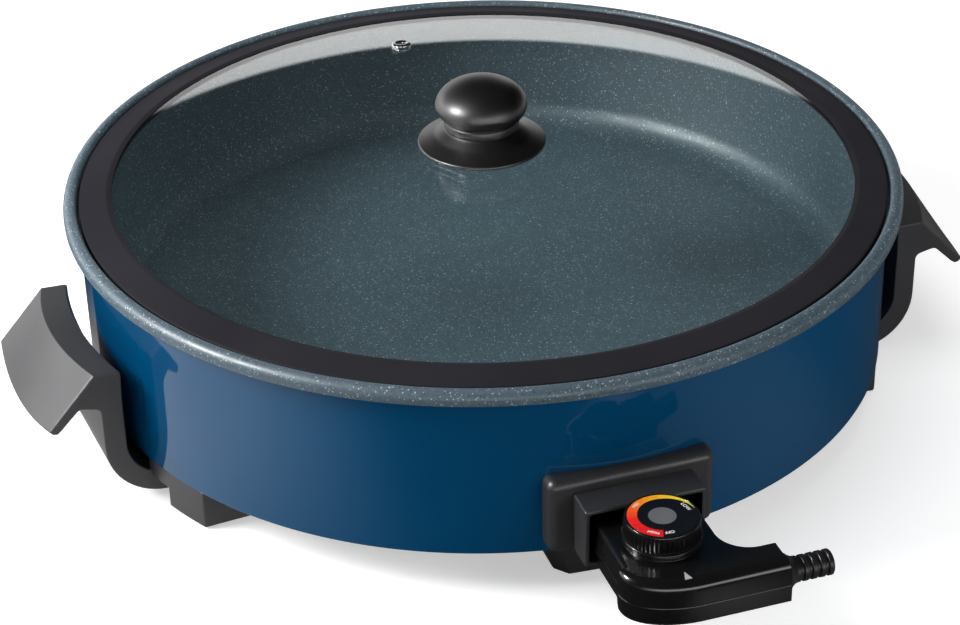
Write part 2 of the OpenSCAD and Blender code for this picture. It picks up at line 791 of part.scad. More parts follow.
// the space inside the case between two heights
module case_space(z0, z1) {
    intersection() {
        translate([0, 0, z0]) linear_extrude(z1 - z0) polygon(case_outline(case_wall));
        translate([-body_end, front_y, z0 - 1])
            cube([2 * body_end - end_wall, neck_y - front_y + 1, z1 - z0 + 2]);
    }
}

// the case's outer form between two heights, with its long edges rounded
module case_form(z0, z1) {
    top_r = 4.6;
    left_r = 2.4;
    low_r = 1.6;
    draft = 0.5;
    crown_r = 38.7;
    crown_z = split_z - 1.5;
    long = 4 * body_end;
    intersection() {
        translate([0, 0, z0]) linear_extrude(z1 - z0) polygon(case_outline(0));
        rotate([90, 0, 90]) linear_extrude(long, center = true) polygon(concat(
            [[neck_y + 1, body_z], [neck_y + 1, body_top]],
            arc([front_y + draft + top_r, body_top - top_r], top_r, 90, 180, 6), [[front_y, split_z]],
            arc([front_y + draft + low_r, body_z + low_r], low_r, 180, 270, 3)
        ));
        rotate([90, 0, 0]) linear_extrude(3 * -front_y, center = true) polygon(concat(
            arc([-body_left + left_r, body_top - left_r], left_r, 90, 180, 4),
            arc([-body_left + low_r, body_z + low_r], low_r, 180, 270, 3),
            arc([body_end - low_r, body_z + low_r], low_r, 270, 360, 3),
            arc([body_end - crown_r, crown_z], crown_r, 0, asin((body_top - crown_z) / crown_r), 5)
        ));
    }
}

// holes in the neck's front for the sockets and the probe
module neck_holes() {
    pair(pin_x) rod_y(socket_r + SLIP, neck_y + 1, neck_y - 4, 0, pin_z);
    rod_y(probe_d / 2 + SLIP, neck_y + 1, neck_y - 4, 0, pin_z);
}

// hole in the case's end that holds the strain relief
module relief_hole() {
    translate([body_end, relief_y, relief_z]) rotate([0, 90, 0]) {
        translate([0, 0, -end_wall - 1]) cylinder(r = relief_r - 1.1 + SLIP, h = end_wall + 2);
        translate([0, 0, -relief_seat]) cylinder(r = relief_base + SLIP, h = relief_seat + 1);
    }
}

module case_top() {
    color("#161616") difference() {
        union() {
            difference() {
                case_form(split_z, body_top + 1);
                case_space(split_z - 1, case_in[1]);
            }
            translate([0, dial_y, body_top - 1]) cylinder(r = dial_r - 0.2, h = collar_top - body_top + 1);
            for (p = case_screws) translate([p[0], p[1], split_z]) cylinder(r = post_r, h = case_in[1] - split_z + 0.5);
        }
        translate([0, dial_y, case_in[1] - 1]) cylinder(r = shaft_r + RUN, h = collar_top - case_in[1] + 2);
        for (p = case_screws) translate([p[0], p[1], split_z - 1]) cylinder(r = case_screw_r + SLIP, h = screw_bite);
        neck_holes();
        relief_hole();
    }
}

module case_bottom() {
    neck_end = box_y - 1.5;
    color("#161616") difference() {
        union() {
            difference() {
                case_form(body_z - 1, split_z);
                case_space(case_in[0], body_top);
            }
            intersection() {
                translate([-body_end, neck_end - 1.4, neck_z]) cube([2 * body_end, neck_y - neck_end + 2, neck_floor - neck_z]);
                translate([0, 0, body_z]) linear_extrude(body_h) polygon(case_outline(case_wall / 2));
            }
            intersection() {
                translate([-body_end, neck_end - 1.4, case_in[0] - 0.5]) cube([2 * body_end, 1.4, neck_floor - case_in[0] + 0.5]);
                translate([0, 0, body_z]) linear_extrude(body_h) polygon(case_outline(case_wall / 2));
            }
            for (p = case_screws) translate([p[0], p[1], case_in[0] - 0.5]) cylinder(r = post_r, h = split_z - case_in[0] + 0.5);
        }
        translate([-body_end, neck_end, body_z - 1]) cube([2 * body_end, neck_y - neck_end + 2, neck_z - body_z + 1]);
        for (p = case_screws) translate([p[0], p[1], body_z - 1]) {
            cylinder(r = case_screw_r + SLIP, h = body_h);
            cylinder(r = 2.4, h = 2.6);
        }
        neck_holes();
        relief_hole();
    }
}

module case_screws() {
    color("silver") for (p = case_screws) translate([p[0], p[1], body_z + 1.6]) {
        cylinder(r = case_screw_r, h = split_z - body_z + 3);
        translate([0, 0, -1.3]) difference() {
            cylinder(r = 2.3, h = 1.3);
            translate([-2.4, -0.3, -1]) cube([4.8, 0.6, 1.6]);
        }
    }
}

module probe_rod() {
    r = probe_d / 2;
    color("silver") {
        rod_y(r, probe_tip - 1.5, neck_y - 21, 0, pin_z);
        translate([0, probe_tip - 1.5, pin_z]) rotate([-90, 0, 0]) cylinder(r1 = r, r2 = r - 1.5, h = 1.5);
    }
}

module socket(side) {
    color("gold") difference() {
        rod_y(socket_r, neck_y - 0.2, block_y[0], side * pin_x, pin_z);
        rod_y(pin_d / 2 + RUN, neck_y + 1, block_y[0] + 1.2, side * pin_x, pin_z);
    }
}

module socket_left() { socket(-1); }

module socket_right() { socket(1); }

module socket_block() {
    half = neck_half - case_wall - 0.3;
    color("saddlebrown") difference() {
        translate([-half, block_y[0], neck_floor]) cube([2 * half, block_y[1] - block_y[0], pin_z + 5 - neck_floor]);
        pair(pin_x) rod_y(socket_r + SLIP, neck_y, neck_y - 25, 0, pin_z);
        rod_y(probe_d / 2 + SLIP, neck_y, neck_y - 25, 0, pin_z);
    }
}

module thermostat_frame() {
    y0 = stack_y - 4;
    y1 = neck_y - 21.6;
    half = frame_w / 2;
    color("silver") difference() {
        union() {
            translate([-half, y0, case_in[0]]) cube([frame_w, y1 - y0, frame_t]);
            for (x = [-half, half - frame_t])
                translate([x, dial_y - 3, case_in[0]]) cube([frame_t, 6, bridge_z + frame_t - case_in[0]]);
            translate([-half, cam_guide_y, bridge_z]) cube([frame_w, dial_y + 3 - cam_guide_y, frame_t]);
            translate([-3 * cam_pin_r, cam_guide_y, bridge_z])
                cube([6 * cam_pin_r, frame_t, cam_pin_z + 2 * cam_pin_r - bridge_z]);
        }
        rod_y(cam_pin_r + RUN, cam_guide_y + 2 * frame_t, cam_guide_y - frame_t, 0, cam_pin_z);
        translate([0, stack_y, case_in[0] - 1]) cylinder(r = stack_screw_r + SLIP, h = frame_t + 2);
    }
}

// leaf spring with a hole for the stack's screw
module leaf(z, t, y_end) {
    difference() {
        translate([-leaf_w / 2, stack_y - 3.4, z]) cube([leaf_w, y_end - stack_y + 3.4, t]);
        translate([0, stack_y, z - 1]) cylinder(r = stack_screw_r + SLIP, h = t + 2);
    }
}

module lower_leaf() {
    color("gold") leaf(lower_leaf_z, leaf_t, contact_y + 2.4);
}

module upper_leaf() {
    color("gold") leaf(upper_leaf_z, leaf_t, contact_y + 2.4);
}

module bimetal_blade() {
    color("darkgoldenrod") leaf(bimetal_z, bimetal_t, contact_y - 1);
}

module contact_points() {
    color("silver") translate([0, contact_y, 0]) {
        translate([0, 0, lower_leaf_z + leaf_t]) cylinder(r = 1.6, h = 0.8);
        translate([0, 0, upper_leaf_z - 1]) cylinder(r = 1.6, h = 1);
    }
}

module leaf_insulators() {
    levels = [
        [case_in[0] + frame_t, lower_leaf_z], [lower_leaf_z + leaf_t, upper_leaf_z],
        [upper_leaf_z + leaf_t, bimetal_z]
    ];
    color("ivory") for (z = levels) translate([0, stack_y, 0])
        tube(stack_r, stack_screw_r + SLIP, z[0], z[1]);
}

module stack_screw() {
    color("silver") translate([0, stack_y, 0]) {
        translate([0, 0, case_in[0] + 0.2]) cylinder(r = stack_screw_r, h = stack_top - case_in[0] - 0.2);
        difference() {
            translate([0, 0, stack_top]) cylinder(r = 2.2, h = 1.4);
            translate([-2.4, -0.3, stack_top + 0.6]) cube([4.8, 0.6, 1]);
        }
    }
}

module link_strips() {
    z = lower_leaf_z;
    w = 2;
    x = pin_x - 1;
    y = block_y[0];
    color("gold") translate([0, 0, z]) linear_extrude(leaf_t) {
        // from the left socket to the lower leaf
        polygon([[-x - w / 2, y], [-x + w / 2, y], [-x + w / 2, stack_y - 1], [-leaf_w / 2, stack_y - 1],
            [-leaf_w / 2, stack_y - 3], [-x - w / 2, stack_y - 3]]);
        // from the right socket to the cord's end of the case
        polygon([[x + w / 2, y], [x - w / 2, y], [x - w / 2, relief_y + 1], [x + 9, relief_y + 1],
            [x + 9, relief_y + 3], [x + w / 2, relief_y + 3]]);
    }
}

module strain_relief() {
    neck = relief_r - 1.1;
    cone = 2.8;
    slot = 1.3;
    pitch = (relief_len - cone - 2) / relief_ribs;
    color("#161616") translate([body_end, relief_y, relief_z]) rotate([0, 90, 0]) difference() {
        union() {
            translate([0, 0, -end_wall - 1.8]) cylinder(r = relief_r - 0.3, h = 1.7);
            translate([0, 0, -end_wall - 0.2]) cylinder(r = neck, h = relief_len + end_wall + 0.2);
            translate([0, 0, 0.1 - relief_seat]) cylinder(r = relief_base, h = relief_seat - 0.1);
            cylinder(r1 = relief_base, r2 = relief_r, h = cone);
            translate([0, 0, cone]) cylinder(r = relief_r, h = 2);
            for (i = [1:relief_ribs]) translate([0, 0, cone + 2 + (i - 1) * pitch + slot])
                cylinder(r = relief_r, h = pitch - slot);
        }
        translate([0, 0, -end_wall - 3]) cylinder(r = cord_d / 2, h = relief_len + end_wall + 4);
    }
}

// ------------------------------------------------------------------ dial

module dial() {
    rib = 0.35;
    star = [for (i = [0:2 * dial_ribs - 1]) let (a = 180 * i / dial_ribs, r = dial_r - (i % 2) * rib)
        [r * cos(a), r * sin(a)]];
    color("#101010") translate([0, dial_y, 0]) difference() {
        union() {
            translate([0, 0, dial_z]) cylinder(r = dial_r + 0.6, h = 1);
            translate([0, 0, dial_z + 0.5]) linear_extrude(dial_h - 1.7) polygon(star);
            translate([0, 0, dial_top - 1.4]) cylinder(r1 = dial_r - 0.1, r2 = dial_r - 0.6, h = 1.4);
        }
        translate([0, 0, dial_top - disc_t]) cylinder(r = disc_r + SLIP, h = 1);
        translate([0, 0, dial_z - 1]) difference() {
            cylinder(r = dial_r - 2.2, h = dial_h - 2.4);
            cylinder(r = shaft_r + 2, h = dial_h);
        }
        translate([0, 0, dial_z - 1]) cylinder(r = shaft_r + SLIP, h = dial_h - 1.4);
    }
}

module dial_disc() {
    color("black") translate([0, dial_y, dial_top - disc_t]) cylinder(r = disc_r, h = disc_t);
}

module dial_shaft() {
    // the cam grows from its least to its greatest radius over the dial's turn
    rise = [for (i = [0:24]) let (a = dial_turn * i / 24 - 90, r = cam_r + cam_travel * i / 24)
        [r * cos(a), r * sin(a)]];
    rest = [for (a = [dial_turn + 12:9:352]) [cam_r * cos(a - 90), cam_r * sin(a - 90)]];
    color("silver") translate([0, dial_y, 0]) {
        translate([0, 0, cam_z]) cylinder(r = shaft_r, h = dial_top - 2.6 - cam_z);
        translate([0, 0, case_in[1] - 1.3]) cylinder(r = shaft_r + 1.5, h = 1);
        translate([0, 0, cam_z]) linear_extrude(cam_t) polygon(concat(rise, rest));
    }
}

module cam_pin() {
    color("ivory") {
        rod_y(cam_pin_r + 0.5, cam_pin_y, cam_pin_y - 1.2, 0, cam_pin_z);
        rod_y(cam_pin_r, cam_pin_y - 1, cam_guide_y - 3, 0, cam_pin_z);
    }
}

pan();
outer_skirt();
bottom_cover();
pan_studs();
heating_element();
terminal_pins();
pin_bushings();
terminal_bracket();
probe_guide();
shroud();
shroud_screws();
left_handle();
right_handle();
front_foot();
foot_screws();
foot_pads();
lid_glass();
lid_rim();
steam_vent();
knob_gasket();
knob_base();
knob_cap();
knob_insert();
knob_washer();
knob_screw();
case_top();
case_bottom();
case_screws();
probe_rod();
socket_left();
socket_right();
socket_block();
thermostat_frame();
lower_leaf();
upper_leaf();
bimetal_blade();
contact_points();
leaf_insulators();
stack_screw();
link_strips();
strain_relief();
dial();
dial_disc();
dial_shaft();
cam_pin();
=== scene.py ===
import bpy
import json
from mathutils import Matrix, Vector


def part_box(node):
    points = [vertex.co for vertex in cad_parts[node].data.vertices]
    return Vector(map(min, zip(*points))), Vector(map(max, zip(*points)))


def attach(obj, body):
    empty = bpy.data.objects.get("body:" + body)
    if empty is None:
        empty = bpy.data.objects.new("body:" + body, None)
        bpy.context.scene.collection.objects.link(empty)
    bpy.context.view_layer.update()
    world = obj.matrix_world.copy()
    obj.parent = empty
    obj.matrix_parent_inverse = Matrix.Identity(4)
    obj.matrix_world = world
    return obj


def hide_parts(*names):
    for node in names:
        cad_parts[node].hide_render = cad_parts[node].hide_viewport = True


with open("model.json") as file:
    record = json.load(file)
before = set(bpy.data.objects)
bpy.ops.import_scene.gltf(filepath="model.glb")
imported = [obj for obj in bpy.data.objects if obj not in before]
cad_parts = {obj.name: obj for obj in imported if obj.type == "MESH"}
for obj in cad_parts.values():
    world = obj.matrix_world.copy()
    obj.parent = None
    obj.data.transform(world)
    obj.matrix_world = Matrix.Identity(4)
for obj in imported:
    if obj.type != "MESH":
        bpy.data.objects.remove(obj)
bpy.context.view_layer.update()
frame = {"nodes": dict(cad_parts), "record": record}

import json
import math

import bmesh
import bpy
import numpy as np
from mathutils import Matrix, Vector

# Electric skillet. Pieces are drawn in millimetres in the frame's own axes:
# +Z up, the controller towards -Y, the handles towards +X and -X.
MM = 0.001


def box(node):
    """A node's lowest and highest corner, in millimetres."""
    lo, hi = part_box(node)
    return [c / MM for c in lo], [c / MM for c in hi]


def placed(name, data):
    """A new object in the scene."""
    obj = bpy.data.objects.new(name, data)
    bpy.context.scene.collection.objects.link(obj)
    return obj


# ------------------------------------------------------------------ camera

# Seen from 18 degrees left of the front and about 31 degrees above the table.
camera = placed("camera", bpy.data.cameras.new("camera"))
bpy.context.scene.camera = camera
camera.data.lens = 91.5
camera.data.sensor_width = 36.0
camera.data.clip_end = 50.0
right = Vector((0.9484, -0.3167, -0.0177)).normalized()
ahead = Vector((0.2625, 0.8151, -0.5165)).normalized()
up = right.cross(ahead)
eye = Vector((-0.30014, -0.92374, 0.60897))
camera.matrix_world = Matrix.Translation(eye) @ Matrix((right, up, -ahead)).transposed().to_4x4()


# ------------------------------------------------------------- mesh helpers

def shift(x, y, z):
    """Matrix that moves by (x, y, z)."""
    return Matrix.Translation((x, y, z))


def arc(cx, cy, r, a0, a1, n):
    """Points on an arc about (cx, cy) from angle a0 to a1, in degrees."""
    turn = [math.radians(a0 + (a1 - a0) * i / n) for i in range(n + 1)]
    return [(cx + r * math.cos(t), cy + r * math.sin(t)) for t in turn]


def rounded(corners, n=5):
    """Closed outline through (x, y, radius) corners, each rounded in n steps."""
    out = []
    count = len(corners)
    for i, (x, y, r) in enumerate(corners):
        p = np.array((x, y), float)
        if r <= 0:
            out.append((x, y))
            continue
        a = np.array(corners[i - 1][:2], float) - p
        b = np.array(corners[(i + 1) % count][:2], float) - p
        la, lb = np.linalg.norm(a), np.linalg.norm(b)
        a, b = a / la, b / lb
        half = math.acos(max(-1.0, min(1.0, float(a @ b)))) / 2
        cut = min(r / math.tan(half), 0.48 * la, 0.48 * lb)
        r = cut * math.tan(half)
        c = p + (a + b) / np.linalg.norm(a + b) * (r / math.sin(half))
        s, e = p + a * cut - c, p + b * cut - c
        a0, a1 = math.atan2(s[1], s[0]), math.atan2(e[1], e[0])
        d = (a1 - a0 + math.pi) % (2 * math.pi) - math.pi
        for j in range(n + 1):
            t = a0 + d * j / n
            out.append((c[0] + r * math.cos(t), c[1] + r * math.sin(t)))
    return out


def inset(outline, by):
    """The outline moved inward by a distance, point for point."""
    if not by:
        return outline
    p = np.array(outline, float)
    area = np.sum(p[:, 0] * np.roll(p[:, 1], -1) - np.roll(p[:, 0], -1) * p[:, 1])
    side = 1.0 if area > 0 else -1.0
    e = np.roll(p, -1, 0) - p
    e /= np.maximum(np.linalg.norm(e, axis=1), 1e-9)[:, None]
    n = side * np.stack([-e[:, 1], e[:, 0]], 1)
    m = n + np.roll(n, 1, 0)
    m /= np.maximum(np.linalg.norm(m, axis=1), 1e-9)[:, None]
    m /= np.maximum(np.sum(m * n, 1), 0.35)[:, None]
    return [tuple(q) for q in p + by * m]


def new_object(name, bm):
    """A Blender object from a bmesh in millimetres."""
    bmesh.ops.remove_doubles(bm, verts=bm.verts, dist=1e-5)
    bmesh.ops.recalc_face_normals(bm, faces=bm.faces)
    bmesh.ops.scale(bm, vec=(MM, MM, MM), verts=bm.verts)
    mesh = bpy.data.meshes.new(name)
    bm.to_mesh(mesh)
    bm.free()
    return placed(name, mesh)


def lathe(name, profile, n=256, turn=None, wave=None):
    """Solid of revolution of a closed (r, z) profile. turn is a 4x4 in millimetres
    that places it, and wave(i, t) changes the radius of profile point i at angle t."""
    bm = bmesh.new()
    rings = []
    for i, (r, z) in enumerate(profile):
        if r < 1e-6:
            rings.append([bm.verts.new((0, 0, z))] * n)
            continue
        ring = []
        for k in range(n):
            t = 2 * math.pi * k / n
            q = r + (wave(i, t) if wave else 0.0)
            ring.append(bm.verts.new((q * math.cos(t), q * math.sin(t), z)))
        rings.append(ring)
    for a, b in zip(rings, rings[1:] + rings[:1]):
        for k in range(n):
            corners = []
            for v in (a[k], a[(k + 1) % n], b[(k + 1) % n], b[k]):
                if v not in corners:
                    corners.append(v)
            if len(corners) > 2:
                bm.faces.new(corners)
    if turn is not None:
        bmesh.ops.transform(bm, matrix=turn, verts=bm.verts)
    return new_object(name, bm)


def loft(name, rings, turn=None):
    """Closed solid through rings of 3-D points, capped at both ends."""
    bm = bmesh.new()
    rows = [[bm.verts.new(p) for p in ring] for ring in rings]
    n = len(rows[0])
    for a, b in zip(rows, rows[1:]):
        for k in range(n):
            bm.faces.new((a[k], a[(k + 1) % n], b[(k + 1) % n], b[k]))
    bm.faces.new(rows[0][::-1])
    bm.faces.new(rows[-1])
    if turn is not None:
        bmesh.ops.transform(bm, matrix=turn, verts=bm.verts)
    return new_object(name, bm)


def slab(name, outline, z0, z1, low=0.0, top=0.0, steps=4, turn=None):
    """Outline drawn out from z0 to z1, with its lower and upper edge rounded."""
    levels = []
    if low:
        levels += [(low * (1 - math.sin(t)), z0 + low * (1 - math.cos(t)))
                   for t in np.linspace(0, math.pi / 2, steps + 1)]
    else:
        levels.append((0.0, z0))
    if top:
        levels += [(top * (1 - math.cos(t)), z1 - top * (1 - math.sin(t)))
                   for t in np.linspace(0, math.pi / 2, steps + 1)]
    else:
        levels.append((0.0, z1))
    rings = [[(x, y, z) for x, y in inset(outline, by)] for by, z in levels]
    return loft(name, rings, turn)


def rod(r, start, end, n=48):
    """Plain cylinder between two points, used as a cutter or joined to a moulding."""
    a, b = Vector(start), Vector(end)
    place = Matrix.Translation(a) @ (b - a).to_track_quat("Z", "Y").to_matrix().to_4x4()
    length = (b - a).length
    return lathe("rod", [(0, 0), (r, 0), (r, length), (0, length)], n, place)


def block(lo, hi):
    """Plain box between two corners, used as a cutter."""
    outline = [(lo[0], lo[1]), (hi[0], lo[1]), (hi[0], hi[1]), (lo[0], hi[1])]
    return loft("block", [[(x, y, z) for x, y in outline] for z in (lo[2], hi[2])])


def evaluated(obj):
    """A new mesh of the object as its modifiers or its curve make it."""
    return bpy.data.meshes.new_from_object(obj.evaluated_get(bpy.context.evaluated_depsgraph_get()))


def combine(obj, tools, operation="DIFFERENCE"):
    """Cuts the tools out of obj, or joins them to it, and deletes the tools."""
    for tool in tools:
        mod = obj.modifiers.new("combine", "BOOLEAN")
        mod.operation = operation
        mod.solver = "MANIFOLD"
        mod.object = tool
        bpy.context.view_layer.update()
        mesh = evaluated(obj)
        obj.modifiers.clear()
        if len(mesh.polygons):
            obj.data = mesh
        else:
            print("combine made nothing for", obj.name)
        bpy.data.objects.remove(tool)
    return obj


def add(obj, name, body, slot, *nodes, look=None, sharp=32, flat=True):
    """Gives a finished piece its name, shading, material and body, and hides the nodes it stands for.
    Its look is its slot's unless another is given."""
    obj.name = name
    obj.data.name = name
    obj.data.materials.clear()
    obj.data.materials.append(look or LOOKS[slot])
    for p in obj.data.polygons:
        p.use_smooth = True
        p.material_index = 0
    obj.data.set_sharp_from_angle(angle=math.radians(sharp))
    if flat:
        mod = obj.modifiers.new("normals", "WEIGHTED_NORMAL")
        mod.keep_sharp = True
        mod.weight = 90
    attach(obj, body)
    if nodes:
        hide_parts(*nodes)
    return obj


# --------------------------------------------------------------- materials

def linear(rgb):
    """An 8-bit sRGB colour as linear RGBA."""
    c = [v / 255 for v in rgb]
    return [v / 12.92 if v <= 0.04045 else ((v + 0.055) / 1.055) ** 2.4 for v in c] + [1.0]


class Tree:
    """Short calls for building a node tree."""

    def __init__(self, tree):
        self.tree = tree

    def node(self, kind, inputs=None, **props):
        n = self.tree.nodes.new(kind)
        for key, value in props.items():
            setattr(n, key, value)
        for key, value in (inputs or {}).items():
            if isinstance(value, bpy.types.NodeSocket):
                self.tree.links.new(value, n.inputs[key])
            else:
                n.inputs[key].default_value = value
        return n

    def math(self, operation, a, b=0.0):
        return self.node("ShaderNodeMath", {0: a, 1: b}, operation=operation).outputs[0]

    def span(self, value, from_lo, from_hi, lo, hi, kind="SMOOTHSTEP"):
        inputs = {"Value": value, "From Min": from_lo, "From Max": from_hi, "To Min": lo, "To Max": hi}
        return self.node("ShaderNodeMapRange", inputs, interpolation_type=kind).outputs["Result"]


class Nodes(Tree):
    """Short calls for building one material's node tree."""

    def __init__(self, name):
        self.mat = bpy.data.materials.new(name)
        self.mat.use_nodes = True
        super().__init__(self.mat.node_tree)
        self.bsdf = self.tree.nodes["Principled BSDF"]
        self.coords = self.node("ShaderNodeTexCoord").outputs["Object"]

    def noise(self, scale, detail=2.0, rough=0.5, coords=None):
        inputs = {"Vector": coords or self.coords, "Scale": scale, "Detail": detail, "Roughness": rough}
        return self.node("ShaderNodeTexNoise", inputs).outputs["Fac"]

    def ramp(self, fac, *stops):
        n = self.node("ShaderNodeValToRGB", {"Fac": fac})
        n.color_ramp.elements[0].position = stops[0][0]
        n.color_ramp.elements[0].color = stops[0][1]
        n.color_ramp.elements[1].position = stops[-1][0]
        n.color_ramp.elements[1].color = stops[-1][1]
        for at, colour in stops[1:-1]:
            n.color_ramp.elements.new(at).color = colour
        return n.outputs["Color"]

    def spread(self, value, lo, hi, from_lo=0.3, from_hi=0.7):
        return self.span(value, from_lo, from_hi, lo, hi, "LINEAR")

    def mix(self, fac, a, b):
        return self.node("ShaderNodeMix", {0: fac, 6: a, 7: b}, data_type="RGBA").outputs[2]

    def bump(self, height, strength, distance):
        inputs = {"Height": height, "Strength": strength, "Distance": distance}
        return self.node("ShaderNodeBump", inputs).outputs["Normal"]

    def link(self, **sockets):
        for key, value in sockets.items():
            self.tree.links.new(value, self.bsdf.inputs[key.replace("_", " ")])

    def set(self, **sockets):
        for key, value in sockets.items():
            self.bsdf.inputs[key.replace("_", " ")].default_value = value

    def finish(self, shader):
        """Makes a shader node the material's surface."""
        self.tree.links.new(shader.outputs[0], self.tree.nodes["Material Output"].inputs["Surface"])
        return self.mat


def plastic(name, dark, light, rough, grain=1400, depth=0.00002, strength=0.25, spread=0.05, **sockets):
    """Moulded plastic, rubber or paint: slow colour drift, uneven gloss and a fine skin."""
    m = Nodes(name)
    tone = m.ramp(m.noise(9, 3), (0.35, linear(dark)), (0.65, linear(light)))
    m.link(Base_Color=tone, Roughness=m.spread(m.noise(34, 4), rough - spread, rough + spread),
           Normal=m.bump(m.noise(grain, 2), strength, depth))
    m.set(**sockets)
    return m.mat


def metal(name, dark, light, rough, stretch=(1, 1, 1), grain=700, strength=0.15, **sockets):
    """Metal with a drawn or turned grain; stretch scales the grain along each axis."""
    m = Nodes(name)
    grained = m.node("ShaderNodeMapping", {"Vector": m.coords, "Scale": stretch}).outputs["Vector"]
    lines = m.noise(grain, 3, coords=grained)
    tone = m.ramp(m.noise(22, 4), (0.35, linear(dark)), (0.65, linear(light)))
    m.link(Base_Color=tone, Roughness=m.spread(lines, rough - 0.06, rough + 0.08),
           Normal=m.bump(lines, strength, 0.00002))
    m.set(Metallic=1.0, **sockets)
    return m.mat


def nonstick():
    """Slate coating with fine pale and dark speckles."""
    m = Nodes("nonstick_coating")
    base = m.ramp(m.noise(14, 3), (0.35, linear((60, 76, 86))), (0.65, linear((68, 85, 95))))
    mottle = m.ramp(m.noise(700, 4, 0.7), (0.3, linear((46, 60, 70))), (0.7, linear((92, 108, 117))))
    colour = m.mix(0.4, base, mottle)
    for scale, share, low, high in ((1250.0, 0.78, 0.16, 0.42), (700.0, 0.86, 0.12, 0.32)):
        cell = m.node("ShaderNodeTexVoronoi", {"Vector": m.coords, "Scale": scale, "Randomness": 1.0})
        pick = m.node("ShaderNodeSeparateColor", {"Color": cell.outputs["Color"]})
        reach = m.spread(pick.outputs["Green"], low, high, 0.0, 1.0)
        inside = m.math("LESS_THAN", cell.outputs["Distance"], reach)
        pale = m.math("MULTIPLY", inside, m.math("GREATER_THAN", pick.outputs["Red"], share))
        dark = m.math("MULTIPLY", inside, m.math("LESS_THAN", pick.outputs["Red"], 0.12))
        colour = m.mix(pale, m.mix(dark, colour, linear((36, 48, 57))), linear((150, 165, 172)))
    m.link(Base_Color=colour, Roughness=m.spread(m.noise(90, 3), 0.4, 0.5),
           Normal=m.bump(m.noise(1400, 2), 0.25, 0.00003))
    m.set(Specular_IOR_Level=0.5)
    return m.mat


def paint():
    """Deep blue gloss enamel with a faint orange peel under a clear coat."""
    m = Nodes("blue_enamel")
    tone = m.ramp(m.noise(6, 2), (0.3, linear((0, 59, 95))), (0.7, linear((3, 65, 102))))
    peel = m.bump(m.noise(330, 1), 0.05, 0.0001)
    m.link(Base_Color=tone, Roughness=m.spread(m.noise(40, 3), 0.42, 0.5), Normal=peel, Coat_Normal=peel)
    m.set(Specular_IOR_Level=0.0, Coat_Weight=1.0, Coat_Roughness=0.04, Coat_IOR=1.5)
    return m.mat


def glass():
    """Clear tempered glass with a faint tint; light passes straight through it for shadows."""
    m = Nodes("tempered_glass")
    tone = m.ramp(m.noise(5, 2), (0.3, (0.93, 0.965, 0.955, 1)), (0.7, (0.95, 0.98, 0.97, 1)))
    m.link(Base_Color=tone, Roughness=m.spread(m.noise(30, 2), 0.0, 0.015))
    m.set(Transmission_Weight=1.0, IOR=1.5)
    clear = m.node("ShaderNodeBsdfTransparent", {"Color": (0.9, 0.94, 0.93, 1)})
    path = m.node("ShaderNodeLightPath")
    through = m.math("MAXIMUM", path.outputs["Is Shadow Ray"], path.outputs["Is Diffuse Ray"])
    return m.finish(m.node("ShaderNodeMixShader", {0: through, 1: m.bsdf.outputs[0], 2: clear.outputs[0]}))


LOOKS = {
    "nonstick": nonstick(),
    "blue_paint": paint(),
    "plain_steel": metal("plain_steel", (150, 150, 148), (176, 176, 174), 0.34, (1, 8, 1)),
    "element_steel": metal("heated_steel", (84, 76, 70), (122, 112, 100), 0.46),
    "bright_steel": metal("bright_steel", (196, 196, 196), (216, 216, 216), 0.16, grain=900, strength=0.06),
    "ceramic": plastic("ceramic_white", (226, 220, 206), (238, 233, 220), 0.6),
    "phenolic": plastic("phenolic_black", (45, 45, 47), (52, 52, 54), 0.4, 1900, 0.00003, 0.3),
    "black_gloss": plastic("gloss_black", (12, 12, 12), (17, 17, 17), 0.2, 500, 0.00001, 0.05, 0.03),
    "satin_black": plastic("satin_black", (4, 4, 4), (8, 8, 8), 0.4, 1300, 0.00002, 0.3, 0.03,
                           Specular_IOR_Level=0.8),
    "silicone_dark": plastic("silicone_charcoal", (33, 32, 37), (39, 38, 43), 0.6, 800, 0.00002, 0.2,
                             Specular_IOR_Level=0.04),
    "silicone_pale": plastic("silicone_pale", (206, 203, 196), (218, 215, 208), 0.6),
    "foot_rubber": plastic("foot_rubber", (22, 22, 22), (30, 30, 30), 0.8, 900, 0.00004, 0.5),
    "glass": glass(),
    "brass": metal("brass", (186, 148, 82), (206, 168, 98), 0.28),
    "legend": plastic("legend_black", (14, 14, 15), (19, 19, 20), 0.2, 500, 0.00001, 0.05, 0.03),
}
for part in frame["record"]["subparts"]:
    obj = frame["nodes"][part["node"]]
    obj.data.materials.clear()
    obj.data.materials.append(LOOKS[part["material_slot"]])


# ----------------------------------------------------------- pan and skirt

skirt_lo, skirt_hi = box("outer_skirt")
pan_lo, pan_hi = box("pan")
rim_hi = box("lid_rim")[1]
glass_hi = box("lid_glass")[1]
cap_lo, cap_hi = box("knob_cap")
skirt_r, foot_h, skirt_top = skirt_hi[0], skirt_lo[2], skirt_hi[2]
rim_r, rim_z, floor_bottom = pan_hi[0], pan_hi[2], pan_lo[2]
lid_r, ring_top = rim_hi[0], rim_hi[2]
dome_z, cap_top, cap_z = glass_hi[2], cap_hi[2], cap_lo[2] + 4.6
mouth_r, wall_top = 178.0, 91
floor_top = floor_bottom + 2.0
corner, wall_turn = (157, floor_top + 14), -9.8
seat_z = rim_z - 5.3
screw_x, screw_z = 17, 45.6
pin_x, pin_z = 12.5, 30.5

# The photo shows the ring's inner edge almost flush with the glass. So the edge is 2.4 mm
# further out than in the solids, and the glass is higher there than theirs.
ring_w, dome_rise, vent_r = 14.6, 12.55, 125
ring_in = lid_r - ring_w
dome_r = (ring_in ** 2 + dome_rise ** 2) / (2 * dome_rise)


